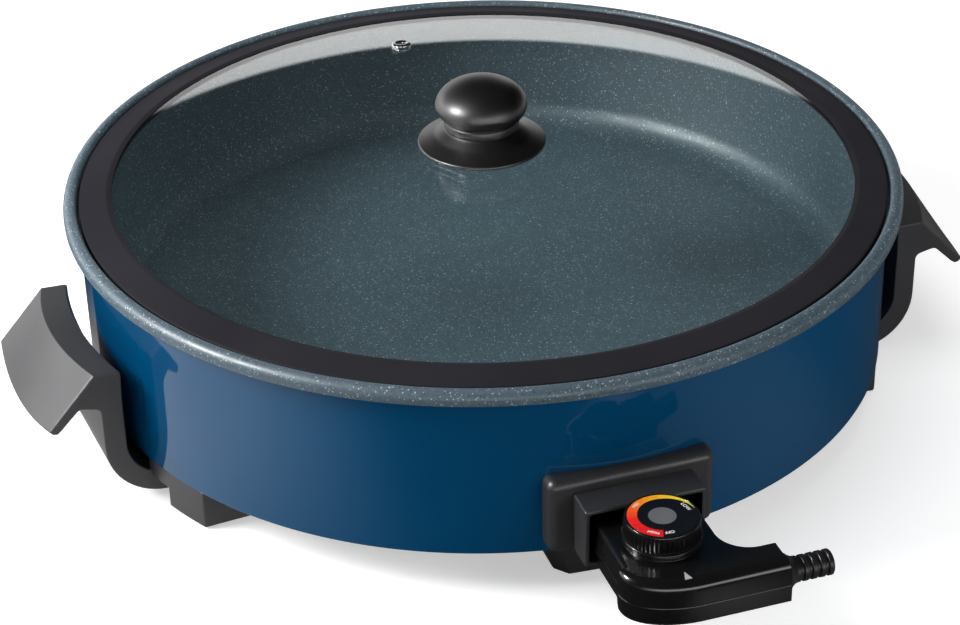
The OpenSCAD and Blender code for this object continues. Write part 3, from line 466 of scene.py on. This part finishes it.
def dome_at(r):
    """Height of the glass's upper face at distance r from the axis."""
    return dome_z - dome_r + math.sqrt(dome_r ** 2 - r * r)


pan_profile = (
    [(0, floor_top), (80, floor_top)] + arc(*corner, 14, -90, wall_turn, 12)
    + [(mouth_r, wall_top), (mouth_r + 0.15, 92.4), (mouth_r + 0.6, 93.4), (mouth_r + 1.4, seat_z),
       (mouth_r + 2.6, seat_z)]
    + arc(rim_r - 3.8, rim_z - 2, 2, 165, 90, 10) + arc(rim_r - 3.8, rim_z - 3.8, 3.8, 88, 0, 12)
    + [(rim_r, rim_z - 5.2), (rim_r - 0.25, rim_z - 6.0), (rim_r - 0.9, rim_z - 6.4),
       (rim_r - 1.6, rim_z - 6.4)]
    + arc(rim_r - 3.8, rim_z - 3.8, 1.9, 0, 90, 8)
    + [(182.4, rim_z - 2.6), (182.4, skirt_top + 0.05), (180, skirt_top + 0.05), (180, wall_top)]
    + arc(*corner, 16, wall_turn, -90, 12) + [(80, floor_bottom), (0, floor_bottom)]
)
pan = lathe("pan_shell", pan_profile, 320)
add(pan, "pan_shell", "base", "nonstick", "pan", flat=False)

skirt_profile = rounded([
    (skirt_r - 0.8, skirt_top, 0.15), (skirt_r, skirt_top, 0.3), (skirt_r, foot_h, 1.1),
    (skirt_r - 5, foot_h, 0.2), (skirt_r - 5, foot_h + 0.8, 0.2),
    (skirt_r - 0.8, foot_h + 0.8, 0.5)], 5)
skirt = lathe("skirt_shell", skirt_profile, 320)
window = box("pin_bushings")
combine(skirt, [block((-17.9, -skirt_r - 3, window[0][2] - 1), (17.9, -skirt_r + 5, window[1][2] + 1))])
combine(skirt, [rod(1.7, (x, -172, screw_z), (x, -190, screw_z)) for x in (-screw_x, screw_x)])
add(skirt, "skirt_shell", "base", "blue_paint", "outer_skirt")

# --------------------------------------------------------------------- lid

glass_r, glass_t, fit = mouth_r - 1.6, 4.0, 0.03
inner_z, outer_z = dome_at(ring_in), dome_at(glass_r)
under = outer_z - glass_t - 1.8
ring_profile = rounded([
    (lid_r, seat_z + 0.3, 0.2), (lid_r, rim_z - 1.3, 0.9), (ring_in + 2.2, ring_top, 2.5),
    (ring_in, ring_top - 0.55, 0.2), (ring_in, inner_z + fit, 0), (mouth_r - 1.5, outer_z + fit, 0),
    (mouth_r - 1.5, outer_z - (glass_t + fit), 0), (ring_in, inner_z - (glass_t + fit), 0),
    (ring_in, inner_z - 5.1, 0.3), (ring_in + 2, under, 0.6), (mouth_r - 0.8, under, 1.0),
    (mouth_r - 0.8, seat_z + 0.3, 0)], 4)
add(lathe("lid_ring", ring_profile, 320), "lid_ring", "lid", "silicone_dark", "lid_rim")

steps = 48
upper_face = [(glass_r * i / steps, dome_at(glass_r * i / steps)) for i in range(steps + 1)]
lid = lathe("lid_dome", upper_face + [(r, z - glass_t) for r, z in upper_face[::-1]], 256)
vent_tilt = math.asin(vent_r / dome_r)
at_vent = shift(0, 0, dome_z - dome_r) @ Matrix.Rotation(-vent_tilt, 4, "X") @ shift(0, 0, dome_r)
combine(lid, [rod(2.6, (0, 0, dome_z - 7), (0, 0, dome_z + 3))])
combine(lid, [rod(3.6, at_vent @ Vector((0, 0, -6)), at_vent @ Vector((0, 0, 3)), 64)])
add(lid, "lid_dome", "lid", "glass", "lid_glass", flat=False)

vent = rounded([
    (2.2, -5.2, 0.3), (4.8, -5.2, 0.4), (4.8, -4.1, 0.2), (3.55, -4.1, 0), (3.55, 0.05, 0),
    (4.8, 0.05, 0.15), (4.8, 0.75, 0.5), (3.9, 1.35, 0.5), (3.0, 1.35, 0.5), (2.2, 0.7, 0.4)], 5)
add(lathe("vent_eyelet", vent, 96, at_vent), "vent_eyelet", "lid", "bright_steel", "steam_vent")

# knob
base_hi = box("knob_base")[1]
base_r, base_top = base_hi[0], base_hi[2]
edge_z = dome_at(base_r) + 0.4
collar_r = 17.0
knob_profile = rounded([
    (2.3, dome_z + 0.8, 0), (9.5, dome_z + 0.8, 0.2), (9.5, dome_z + 3.4, 0.4),
    (base_r - 2.6, edge_z + 0.7, 0.5), (base_r - 1.8, edge_z, 0.3), (base_r, edge_z, 0.5),
    (base_r - 0.1, edge_z + 1.4, 0.9), (collar_r + 4.2, base_top - 3.6, 9),
    (collar_r, base_top - 0.6, 1.2), (collar_r - 0.6, base_top, 0.3), (2.3, base_top, 0)], 8)
add(lathe("knob_skirt", knob_profile, 192), "knob_skirt", "lid", "satin_black", "knob_base")

cap_r = cap_hi[0]
rise = cap_top - cap_z - 5.4
crown = [(cap_r * math.cos(t), cap_z + 5.4 + rise * math.sin(t)) for t in np.linspace(0, math.pi / 2, 33)]
cap_profile = [(3.3, base_top), (16.2, base_top)] + arc(16.2, base_top + 0.5, 0.5, -90, 0, 4)[1:] + [
    (16.7, cap_z - 1.1), (16.6, cap_z - 0.8), (16.1, cap_z - 0.6), (16.1, cap_z - 0.1), (16.4, cap_z + 0.1),
    (17.3, cap_z + 0.3), (18.3, cap_z + 1.2), (19.4, cap_z + 2.6), (20.1, cap_z + 4.0)] + crown
cap_profile[-1] = (0, cap_top)
cap_profile += [(0, base_top + 11), (3.3, base_top + 11)]
add(lathe("knob_grip", cap_profile, 192), "knob_grip", "lid", "satin_black", "knob_cap", sharp=50, flat=False)

# ----------------------------------------------------------------- handles

stem_x = skirt_r + 4
stem_out = stem_x + 9.5
tip_x = stem_out + 26.5
ridge_x = stem_x + 18.1
inner_x = ridge_x - 12.5
handle_half = 40.5
grip_top = 66.5
bend_r = 27.5
sole = 0.6

# Each handle is turned by this angle from the side towards the controller, in degrees.
swing = -5.7


def sag(r, y):
    """How far an arc of radius r falls back at distance y from its middle."""
    return r - math.sqrt(r * r - y * y)


def handle_section(y, by=0.0):
    """Grip, stem, bend and arm cut across at distance y, as a rounded (x, z) outline."""
    top = grip_top + 0.4 - 0.0008 * y * y
    low = grip_top - 29 + 0.0024 * y * y
    tip = tip_x - sag(219.3, y)
    bend = (stem_out - bend_r, sole + bend_r)
    outer = arc(*bend, bend_r, 0, -90, 16)
    inner = arc(*bend, 18, -58, 0, 12)
    corners = [
        (inner_x - sag(134.6, y), top - 0.9, 1.4), (ridge_x - sag(120, y), top, 0.7),
        (tip, low + 2.1, 0.7), (tip - 1.6, low + 0.3, 0.8), (tip - 3.4, low, 0.8),
        (tip - 5.1, low + 1.2, 0.8), (stem_out + 9, grip_top - 15.6, 3.0), (stem_out, grip_top - 18.2, 3.2)]
    corners += [(x, z, 0) for x, z in outer]
    corners += [
        (bend[0] - 8, sole, 0), (bend[0] - 10, 10, 0.8), (150, 10, 0), (150, 17.9, 0),
        (skirt_r - 8.5, 17.9, 0.8), (skirt_r - 6.8, 14, 0)]
    corners += [(x, z, 0) for x, z in inner]
    corners += [(stem_x, grip_top - 16, 6)]
    return inset(rounded(corners, 6), by)


def sector(r_in, r_out, y0, y1, radius):
    """Plan outline of part of a ring between two distances from the handle's middle line."""
    a0, a1 = math.asin(y0 / r_out), math.asin(y1 / r_out)
    b0, b1 = math.asin(y0 / r_in), math.asin(y1 / r_in)
    n = 14

    def edge(r, start, end):
        turn = [start + (end - start) * i / n for i in range(n + 1)]
        return [(r * math.cos(t), r * math.sin(t)) for t in turn]

    outer, inner = edge(r_out, a0, a1), edge(r_in, b1, b0)
    corners = [(x, y, radius if i in (0, n) else 0) for i, (x, y) in enumerate(outer)]
    corners += [(x, y, 0) for x, y in inner]
    return rounded(corners, 5)


def stud_holes(x, y, place=Matrix()):
    """Cutters for a stud's hole in a foot and the wider one for its screw."""
    return [rod(r, place @ Vector((x, y, -1)), place @ Vector((x, y, top)))
            for r, top in ((2.3, 20), (4.4, 9.01))]


def pad_hole(x, y, place=Matrix()):
    """Cutter for a rubber pad's recess in a foot."""
    return rod(7.04, place @ Vector((x, y, -1)), place @ Vector((x, y, 1.6)), 64)


def handle(side):
    """One handle moulding: grip, stem, arm and two foot blocks."""
    mirror = Matrix.Scale(-1 if side < 0 else 1, 4, (1, 0, 0))
    place = mirror @ Matrix.Rotation(math.radians(swing), 4, "Z")
    rings = []
    ease = 0.7
    for t in np.linspace(math.pi / 2, 0, 4):
        by = ease * (1 - math.cos(t))
        rings.append((-handle_half + ease * (1 - math.sin(t)), by))
    rings += [(y, 0.0) for y in np.linspace(-handle_half, handle_half, 33)[1:-1]]
    for t in np.linspace(0, math.pi / 2, 4):
        by = ease * (1 - math.cos(t))
        rings.append((handle_half - ease * (1 - math.sin(t)), by))
    grip = loft("grip", [[(x, y, z) for x, z in handle_section(y, by)] for y, by in rings], place)
    plate = slab("plate", sector(140, skirt_r - 7.5, -75.5, 75.5, 1), 9, foot_h, 0.8, turn=place)
    lip = slab("lip", sector(141, skirt_r - 5.4, -74.5, 74.5, 1), foot_h - 1, foot_h + 0.8, turn=place)
    parts = [plate, lip]
    holes = []
    for s in (-1, 1):
        for name, y0, y1, z0, radius, low, top in (
                ("web", 38.5, 74.5, 9.5, 1.5, 1.5, 0.0), ("foot", 53, 75.5, sole, 2.5, 1.2, 0.2)):
            plan = sector(skirt_r - 26.5, skirt_r - 0.5, *sorted((s * y0, s * y1)), radius)
            parts.append(slab(name, plan, z0, foot_h, low, top, turn=place))
        holes += stud_holes(148, s * 26, place) + [pad_hole(155.77, s * 64.25, place)]
    combine(grip, parts, "UNION")
    return combine(grip, holes)


add(handle(1), "handle_right", "base", "phenolic", "right_handle")
add(handle(-1), "handle_left", "base", "phenolic", "left_handle")

# front foot
foot_front = skirt_r - 5.8


def foot_outline(h):
    """The front foot seen from above, h wide on each side."""
    return rounded([
        (h, -foot_front + 31, 0.6), (h, -foot_front + 7.6, 1.6), (h - 5, -foot_front + 1.6, 1.6),
        (0, -foot_front, 40), (5 - h, -foot_front + 1.6, 1.6), (-h, -foot_front + 7.6, 1.6),
        (-h, -foot_front + 31, 0.6)], 5)


sole_levels = [(27.5, sole, 1.0), (27.5, sole + 0.35, 0.35), (27.6, sole + 1.1, 0.0)]
rings = [[(x, y, z) for x, y in inset(foot_outline(h), by)] for h, z, by in sole_levels]
rings.append([(x, y, foot_h) for x, y in foot_outline(34.0)])
foot = loft("foot", rings)
combine(foot, [block((-34, -foot_front + 8, foot_h - 1), (34, -foot_front + 31, foot_h + 0.8))], "UNION")
cuts = stud_holes(-25, -150) + stud_holes(25, -150) + [pad_hole(x, -163.2) for x in (-16, 16)]
combine(foot, cuts)
add(foot, "foot_front", "base", "phenolic", "front_foot")

# ------------------------------------------------------------------ shroud

plate_y = -(skirt_r + 5)
box_y = plate_y - 14
plate_z = foot_h + 3.5


def pillow(half, y0, y1, z0, z1, r):
    """Block with all its front edges rounded to radius r."""
    outline = rounded([(-half, z0, r), (half, z0, r), (half, z1, r), (-half, z1, r)], 8)
    rings = []
    for t in np.linspace(0, math.pi / 2, 9):
        by, y = r * (1 - math.sin(t)), y0 + r * (1 - math.cos(t))
        rings.append([(x, y, z) for x, z in inset(outline, min(by, r - 0.02))])
    rings.append([(x, y1, z) for x, z in outline])
    return loft("pillow", rings)


shroud = pillow(35.5, plate_y, plate_y + 24, plate_z, plate_z + 34.5, 4)
combine(shroud, [lathe("cyl", [(0, 0), (skirt_r + 0.02, 0), (skirt_r + 0.02, 99), (0, 99)], 320)])
combine(shroud, [pillow(25.6, box_y, plate_y + 2.4, plate_z + 1.8, plate_z + 28.5, 1.0)], "UNION")
hole = rounded([(-23.9, 25.5, 1.2), (23.9, 25.5, 1.2), (23.9, 48.8, 1.2), (-23.9, 48.8, 1.2)], 5)
combine(shroud, [loft("hole", [[(x, y, z) for x, z in hole] for y in (box_y - 1, plate_y + 1.5)])])
cuts = [rod(r, (x, -172, z), (x, box_y, z)) for r, x, z in (
    (4.44, -pin_x, pin_z), (4.44, pin_x, pin_z), (3.94, 0, pin_z),
    (1.54, -screw_x, screw_z), (1.54, screw_x, screw_z))]
combine(shroud, cuts)
add(shroud, "socket_shroud", "base", "phenolic", "shroud")

# -------------------------------------------------------------- controller

dial_lo, dial_hi = box("dial")
dial_y = (dial_lo[1] + dial_hi[1]) / 2
body_z, body_top, split_z = 23.0, 43.0, 32.0
front_y, end_x, neck_half, bow = dial_y - 31.1, 42.4, 21.2, 17
neck_y, back_y, shoulder_y = plate_y + 1.5 - 2.2, front_y + 14.7, front_y + bow
relief_y, relief_z = back_y - 6.95, 33
left_x = -neck_half - 2.2
wide, back_r, draft = 29.5, 13.0, 0.5


def case_plan(end):
    """The case seen from above, with the rounding radius of its top edge at each point."""
    plan = [(-neck_half, neck_y, 0.6), (-neck_half, neck_y - 3, 2.0), (-neck_half, shoulder_y + 3.4, 2.2),
            (left_x, shoulder_y + 2, 2.4)]
    for deg in np.linspace(180, 270, 31):
        t = math.radians(deg)
        plan.append((left_x + wide + wide * math.cos(t), shoulder_y + bow * math.sin(t),
                     2.6 + 2.0 * min(1.0, (deg - 180) / 40)))
    plan += [(end, front_y, 4.6), (end, back_y, 0.5)]
    plan += [(x, y, 0.5) for x, y in arc(neck_half + back_r, back_y + back_r, back_r, 270, 180, 24)]
    return plan + [(neck_half, neck_y, 0.5)]


def case_form(name, end, z0, z1, steps=10):
    """Case between two heights: a fine groove at the split, drafted walls and a rounded top or
    bottom edge."""
    plan = case_plan(end)
    outline = [q[:2] for q in plan]
    rings = []
    upper = z1 > split_z + 1
    for g, h in ((0.25, 0.0), (0.06, 0.25), (0.0, 0.55)):
        rings.append([(x, y, split_z + (h if upper else -h)) for x, y in inset(outline, g)])
    for t in np.linspace(0, math.pi / 2, steps + 1):
        ring = []
        for (x, y, r), (ux, uy) in zip(plan, inset(outline, 1.0)):
            r = r if upper else 1.6
            by = draft + r * (1 - math.cos(t))
            z = z1 - r * (1 - math.sin(t)) if upper else z0 + r * (1 - math.sin(t))
            ring.append((x + (ux - x) * by, y + (uy - y) * by, z))
        rings.append(ring)
    return loft(name, rings)


def end_cut():
    """Two blocks that shape the cord end: its crowned upper half and its rounded upright edges."""
    crown_r = 38.7
    crown = [(-60, 10), (end_x - 1.6, 10)] + arc(end_x - 1.6, body_z + 1.6, 1.6, -90, 0, 6)
    crown += arc(end_x - crown_r, split_z - 1.5, crown_r, 0, math.degrees(math.asin(12.5 / crown_r)), 12)
    crown += [(38.4, 60), (-60, 60)]
    plan = arc(end_x - 1.5, front_y + 1.49, 1.5, 270, 360, 6)
    plan += arc(end_x - 1.2, back_y - 1.2, 1.2, 0, 90, 6)
    plan += [(end_x - 1.2, -150), (-60, -150), (-60, front_y - 0.01)]
    return [loft("crown", [[(x, y, z) for x, z in crown] for y in (-300, -150)]),
            loft("ends", [[(x, y, z) for x, y in plan] for z in (10, 60)])]


def hollow(z0, z1):
    """The space inside the case."""
    outline = inset([q[:2] for q in case_plan(end_x - 2.4)], 1.8)
    return loft("hollow", [[(x, y, z) for x, y in outline] for z in (z0, z1)])


def relief_cut():
    """Cutters for the strain relief's neck and collar."""
    return [rod(4.24, (end_x - 5, relief_y, relief_z), (end_x + 1.2, relief_y, relief_z), 64),
            rod(7.54, (end_x - 1.3, relief_y, relief_z), (end_x + 2, relief_y, relief_z), 96)]


def neck_cuts():
    """Cutters in the neck's face for the two pins and the probe."""
    return [rod(r, (x, neck_y + 1, pin_z), (x, neck_y - 4, pin_z))
            for r, x in ((3.34, -pin_x), (3.34, pin_x), (3.04, 0))]


screws = [(-17.8, dial_y + 4.2), (17.8, dial_y + 4.2), (left_x + 11, front_y + 9.8),
          (end_x - 17.4, relief_y)]
top = case_form("top", end_x + 6, split_z, body_top)
combine(top, end_cut(), "INTERSECT")
combine(top, [hollow(split_z - 1, body_top - 1.8)])
at_dial = shift(0, dial_y, 0)
collar = rounded([
    (0, body_top - 1, 0), (15.6, body_top - 1, 0), (15.6, body_top + 0.6, 0.3),
    (15.1, body_top + 0.75, 0.1), (15.1, body_top + 1.8, 0.4), (0, body_top + 1.8, 0)], 5)
posts = [lathe("collar", collar, 128, at_dial)]
posts += [rod(2.6, (x, y, split_z), (x, y, body_top - 1.3)) for x, y in screws]
combine(top, posts, "UNION")
combine(top, [rod(2.56, (0, dial_y, body_top - 3), (0, dial_y, body_top + 3))] + neck_cuts() + relief_cut()
        + [rod(1.29, (x, y, split_z - 1), (x, y, split_z + 6)) for x, y in screws])
add(top, "case_cover", "controller", "black_gloss", "case_top")

tray = case_form("tray", end_x + 6, body_z, split_z, 6)
combine(tray, end_cut(), "INTERSECT")
combine(tray, [hollow(body_z + 1.6, split_z + 2)])
neck_end = box_y - 1.5
combine(tray, [block((-neck_half + 0.9, neck_end - 1.4, 26), (neck_half - 0.9, neck_y - 0.9, 27.1)),
               block((-neck_half + 0.9, neck_end - 1.4, 24.1), (neck_half - 0.9, neck_end, 27.1))], "UNION")
combine(tray, [rod(2.6, (x, y, body_z + 1.1), (x, y, split_z - 0.25)) for x, y in screws], "UNION")
cuts = [block((-end_x, neck_end, body_z - 1), (end_x, neck_y + 2, 26))]
for x, y in screws:
    cuts += [rod(1.29, (x, y, body_z - 1), (x, y, split_z + 2)),
             rod(2.4, (x, y, body_z - 1), (x, y, body_z + 1.6))]
combine(tray, cuts + neck_cuts() + relief_cut())
add(tray, "case_tray", "controller", "black_gloss", "case_bottom")

# strain relief, along +X
relief = [
    (3.2, -6.0), (5.0, -6.0), (5.0, -4.3), (4.2, -4.3), (4.2, -1.2), (7.4, -1.2), (7.5, -1.1),
    (7.5, -0.2), (7.3, 0.15), (6.6, 0.9), (5.9, 1.9), (5.5, 2.7), (5.35, 3.3), (5.3, 4.0), (5.3, 4.5),
    (5.15, 4.75), (4.4, 4.95)]
pitch = 3.5
for i in range(4):
    x0 = 6.1 + i * pitch
    relief += [(4.4, x0 - 0.15), (5.1, x0), (5.28, x0 + 0.2), (5.3, x0 + 0.5), (5.3, x0 + 1.7),
               (5.28, x0 + 1.95), (5.1, x0 + 2.2), (4.4, x0 + 2.35)]
relief = relief[:-4] + [(5.3, 18.1), (5.2, 18.5), (4.9, 18.75), (4.5, 18.8), (3.4, 18.8), (3.2, 18.6)]
at_relief = shift(end_x, relief_y, relief_z) @ Matrix.Rotation(math.pi / 2, 4, "Y")
guard_look = plastic("guard_black", (17, 17, 18), (23, 23, 24), 0.42, 900, 0.00001, 0.1)
add(lathe("cord_guard", relief, 96, at_relief), "cord_guard", "controller", "satin_black", "strain_relief",
    look=guard_look)

# -------------------------------------------------------------------- dial

dial_z, dial_top = dial_lo[2], dial_hi[2]
ribs = 56
side = [(15.2, dial_z), (15.75, dial_z), (15.88, dial_z + 0.15), (15.9, dial_z + 0.4), (15.85, dial_z + 0.7),
        (15.65, dial_z + 0.95), (15.35, dial_z + 1.05)]
ribbed = [(15.3, dial_z + 1.15), (15.3, dial_z + 1.5), (15.3, dial_top - 1.9), (15.25, dial_top - 1.5)]
crest = [(15.05, dial_top - 1.1), (14.95, dial_top - 0.5), (14.85, dial_top - 0.15), (14.65, dial_top),
         (14.3, dial_top), (14.15, dial_top - 0.12), (14.04, dial_top - 0.5)]
inside = [(0, dial_top - 0.5), (0, dial_top - 1.4), (2.54, dial_top - 1.4), (2.54, dial_z), (4.5, dial_z),
          (4.5, dial_top - 3.4), (13.1, dial_top - 3.4), (13.1, dial_z)]
dial_profile = side + ribbed + crest + inside
ribbed_from, ribbed_to = len(side), len(side) + len(ribbed)


def rib_wave(i, t):
    """Depth of the grip ribs at profile point i and angle t."""
    if not ribbed_from <= i < ribbed_to:
        return 0.0
    return -0.42 * (0.5 - 0.5 * math.cos(ribs * t)) ** 0.7


add(lathe("dial_knob", dial_profile, ribs * 8, at_dial, rib_wave), "dial_knob", "dial", "black_gloss",
    "dial", sharp=40)

face_z = dial_top - 0.03
disc = rounded([(0, dial_top - 0.5, 0), (14, dial_top - 0.5, 0), (14, face_z, 0.1), (0, face_z, 0)], 3)
add(lathe("dial_face", disc, 192, at_dial), "dial_face", "dial", "legend", "dial_disc")


def polar(deg, r, z):
    """Point on the dial, at an angle clockwise from the front as seen from above."""
    t = math.radians(deg)
    return (-r * math.sin(t), dial_y - r * math.cos(t), z)


def band_look():
    """Printed heat band: red at HIGH through orange to yellow and green at LOW."""
    m = Nodes("heat_band")
    place = m.node("ShaderNodeMapping", {"Vector": m.coords, "Location": (0, -dial_y * MM, 0)})
    at = m.node("ShaderNodeSeparateXYZ", {"Vector": place.outputs["Vector"]}).outputs
    turn = m.math("ARCTAN2", at["X"], at["Y"])
    share = m.math("ADD", m.math("DIVIDE", turn, 2 * math.pi), 0.5)
    colour = m.ramp(
        share, (0.05, linear((196, 22, 24))), (0.27, linear((212, 30, 22))), (0.36, linear((232, 88, 22))),
        (0.45, linear((242, 136, 26))), (0.56, linear((250, 188, 36))), (0.66, linear((236, 214, 48))),
        (0.75, linear((150, 176, 60))))
    m.link(Base_Color=colour, Roughness=m.spread(m.noise(300, 2), 0.25, 0.35),
           Normal=m.bump(m.noise(900), 0.05, 0.00001))
    return m.mat


def strip(name, inner, outer, degrees, z0, z1):
    """Thin printed strip between two radii, given per angle."""
    bm = bmesh.new()
    rows = []
    for deg, a, b in zip(degrees, inner, outer):
        rows.append([bm.verts.new(polar(deg, r, z)) for r, z in ((a, z0), (b, z0), (b, z1), (a, z1))])
    for p, q in zip(rows, rows[1:]):
        for k in range(4):
            bm.faces.new((p[k], p[(k + 1) % 4], q[(k + 1) % 4], q[k]))
    bm.faces.new(rows[0])
    bm.faces.new(rows[-1][::-1])
    return new_object(name, bm)


angles = np.linspace(20, 268, 63)
inner_r = np.interp(angles, [20, 120, 204, 262, 268], [9.4, 9.8, 11.4, 13.35, 13.75])
print_z = face_z + 0.03
band = add(strip("heat_band", inner_r, np.full(len(angles), 13.8), angles, face_z - 0.05, print_z),
           "heat_band", "dial", "legend", look=band_look())

white_print = plastic("white_print", (222, 222, 222), (238, 238, 238), 0.4, 900, 0.00001, 0.05)


def word(text, deg, r, size):
    """Raised print on the dial with its top outward, seen from above."""
    curve = bpy.data.curves.new(text, "FONT")
    curve.body = text
    curve.size = size * MM
    curve.align_x = "CENTER"
    curve.align_y = "CENTER"
    curve.extrude = 0.03 * MM
    curve.offset = 0.02 * MM
    obj = placed(text, curve)
    bpy.context.view_layer.update()
    mesh = evaluated(obj)
    bpy.data.objects.remove(obj)
    turn = Matrix.Rotation(math.radians(180 - deg), 4, "Z")
    mesh.transform(Matrix.Translation(Vector(polar(deg, r, print_z)) * MM) @ turn)
    name = "word_" + text.lower()
    return add(placed(name, mesh), name, "dial", "legend", look=white_print, flat=False)


words = [word(*row) for row in (
    ("OFF", 7, 10.9, 2.2), ("HIGH", 39, 11.5, 2.0), ("MED", 144, 12.1, 1.9), ("LOW", 257, 11.1, 2.3))]

hub_look = plastic("hub_grey", (86, 86, 88), (98, 98, 100), 0.35, 900, 0.00001, 0.05)
hub = [(0, face_z - 0.1), (5.5, face_z - 0.1), (5.5, face_z + 0.02), (5.45, print_z), (5.0, print_z),
       (4.9, face_z + 0.015), (0, face_z + 0.015)]
middle = add(lathe("dial_hub", hub, 96, at_dial), "dial_hub", "dial", "legend", look=hub_look)

# The print leaves no mark in the reflections of other pieces.
for printed in words + [band, middle]:
    printed.visible_glossy = False

pointer_look = plastic("pointer_print", (150, 150, 152), (166, 166, 168), 0.4, 900, 0.00001, 0.05)
pointer = rounded([(-1.5, front_y + 3.9, 0.1), (1.5, front_y + 3.9, 0.1), (0, front_y + 8.6, 0.1)], 3)
add(slab("pointer", pointer, body_top - 0.2, body_top + 0.04), "dial_pointer", "controller", "black_gloss",
    look=pointer_look)

# ------------------------------------------------------------ stage, light

floor_mesh = bpy.data.meshes.new("floor")
far = 12.0
floor_mesh.from_pydata([(-far, -far, 0), (far, -far, 0), (far, far, 0), (-far, far, 0)], [], [(0, 1, 2, 3)])
floor = placed("floor", floor_mesh)
fm = Nodes("floor_white")
fm.set(Base_Color=(0.8, 0.8, 0.8, 1), Roughness=0.9, Specular_IOR_Level=0.0)
path = fm.node("ShaderNodeLightPath")
spot = fm.node("ShaderNodeSeparateXYZ", {0: fm.coords})


def length(x, y):
    """Length of a vector in the floor's node tree."""
    return fm.math("SQRT", fm.math("ADD", fm.math("MULTIPLY", x, x), fm.math("MULTIPLY", y, y)))


def pool(x, y, inner, outer, level):
    """Soft round pool of light on the floor, as glossy surfaces see it."""
    dx = fm.math("SUBTRACT", spot.outputs["X"], x)
    dy = fm.math("SUBTRACT", spot.outputs["Y"], y)
    return fm.span(length(dx, dy), inner, outer, level, 0.03)


pools = fm.math("MAXIMUM", pool(-0.26, -0.06, 0.03, 0.22, 1.1), pool(0.13, -0.24, 0.02, 0.14, 0.2))
pools = fm.math("MAXIMUM", pools, pool(0.035, -0.29, 0.0, 0.05, 0.5))
# far_off rises with distance from the middle. Glossy rays see the far floor glow by it, and camera rays see
# the floor glow more the farther it is from the object: painted light that whitens the far floor.
far_off = fm.spread(length(spot.outputs["X"], spot.outputs["Y"]), 0.0, 1.0, 0.5, 0.9)
pools = fm.math("MAXIMUM", pools, far_off)
straight = fm.math("MAXIMUM", path.outputs["Is Camera Ray"], path.outputs["Is Transmission Ray"])
seen = fm.math("MULTIPLY", straight, fm.spread(far_off, 0.48, 1.0, 0.0, 1.0))
glow = fm.node("ShaderNodeEmission", {"Color": (1, 1, 1, 1), "Strength": seen})
lit = fm.node("ShaderNodeAddShader", {0: fm.bsdf.outputs[0], 1: glow.outputs[0]})
mirrored = fm.node("ShaderNodeEmission", {"Color": (1, 1, 1, 1), "Strength": pools})
floor.data.materials.append(fm.finish(fm.node("ShaderNodeMixShader", {
    0: path.outputs["Is Glossy Ray"], 1: lit.outputs[0], 2: mirrored.outputs[0]})))

world = bpy.data.worlds.new("studio")
bpy.context.scene.world = world
world.use_nodes = True
sky = Tree(world.node_tree)
sky.tree.nodes.clear()

# Glossy surfaces see a white wall behind and to the left, a lit strip in front, and a dark
# studio above them.
rays = sky.node("ShaderNodeLightPath").outputs
way = sky.node("ShaderNodeSeparateXYZ", {0: sky.node("ShaderNodeTexCoord").outputs["Generated"]}).outputs
across = sky.math("SUBTRACT", sky.math("MULTIPLY", way["X"], 0.951), sky.math("MULTIPLY", way["Y"], 0.309))
curve = sky.math("MULTIPLY", sky.math("MULTIPLY", across, across), 1.45)
edge_up = sky.math("MINIMUM", sky.math("ADD", curve, 0.205), 0.33)
edge_up = sky.math("SUBTRACT", edge_up, sky.span(across, 0.26, 0.4, 0.0, 0.9))
wall = sky.span(sky.math("SUBTRACT", way["Z"], edge_up), -0.006, 0.006, 1.0, 0.0)
low_down = sky.span(way["Z"], 0.15, 0.3, 1.0, 0.0)
bright = sky.math("MULTIPLY", sky.span(across, -0.85, -0.45, 3.1, 0.0), low_down)
bright = sky.math("MULTIPLY", bright, sky.span(way["Y"], 0.3, 0.55, 0.0, 1.0))
wall = sky.math("MULTIPLY", wall, sky.math("ADD", bright, 1.4))
wall = sky.math("MULTIPLY", wall, sky.math("GREATER_THAN", way["Y"], 0.0))
low_down = sky.span(way["Z"], 0.2, 0.3, 1.0, 0.0)
front = sky.math("MULTIPLY", sky.span(way["Y"], -0.95, -0.6, 5.0, 0.0), low_down)
studio = sky.math("ADD", wall, sky.math("ADD", front, 0.02))


def choose(fac, a, b):
    """Number a, or b where fac is 1, in the world's node tree."""
    return sky.node("ShaderNodeMix", {0: fac, 2: a, 3: b}, data_type="FLOAT").outputs[0]


through = rays["Is Transmission Ray"]
below = sky.math("MULTIPLY", through, sky.math("LESS_THAN", way["Z"], 0.0))
above = sky.math("MULTIPLY", through, sky.math("GREATER_THAN", way["Z"], 0.0))
level = choose(above, choose(rays["Is Glossy Ray"], 0.2, studio), studio)
level = choose(sky.math("MAXIMUM", rays["Is Camera Ray"], below), level, 1.0)
background = sky.node("ShaderNodeBackground", {"Color": (1, 1, 1, 1), "Strength": level})
sky.node("ShaderNodeOutputWorld", {"Surface": background.outputs[0]})


def softbox(name, at, towards, width, height, power, glossy=False):
    """Area light that either lights surfaces or only shows as a highlight in them."""
    data = bpy.data.lights.new(name, "AREA")
    data.shape = "RECTANGLE"
    data.size, data.size_y, data.energy = width, height, power
    obj = placed(name, data)
    obj.location = at
    obj.rotation_euler = (Vector(towards) - Vector(at)).to_track_quat("-Z", "Y").to_euler()
    obj.visible_diffuse = not glossy
    obj.visible_glossy = obj.visible_transmission = glossy


softbox("key", (-0.85, 0.12, 0.58), (0, 0, 0.05), 0.45, 0.45, 14)
softbox("key_highlight", (-0.85, 0.0, 0.58), (0, 0, 0.05), 0.17, 0.17, 20, True)
softbox("overhead", (0.1, 0.3, 1.8), (0, 0, 0), 1.4, 1.2, 12)
softbox("fill", (0.8, -1.3, 0.6), (0, 0, 0.05), 0.8, 0.6, 9)

bpy.context.scene.view_settings.view_transform = "Standard"
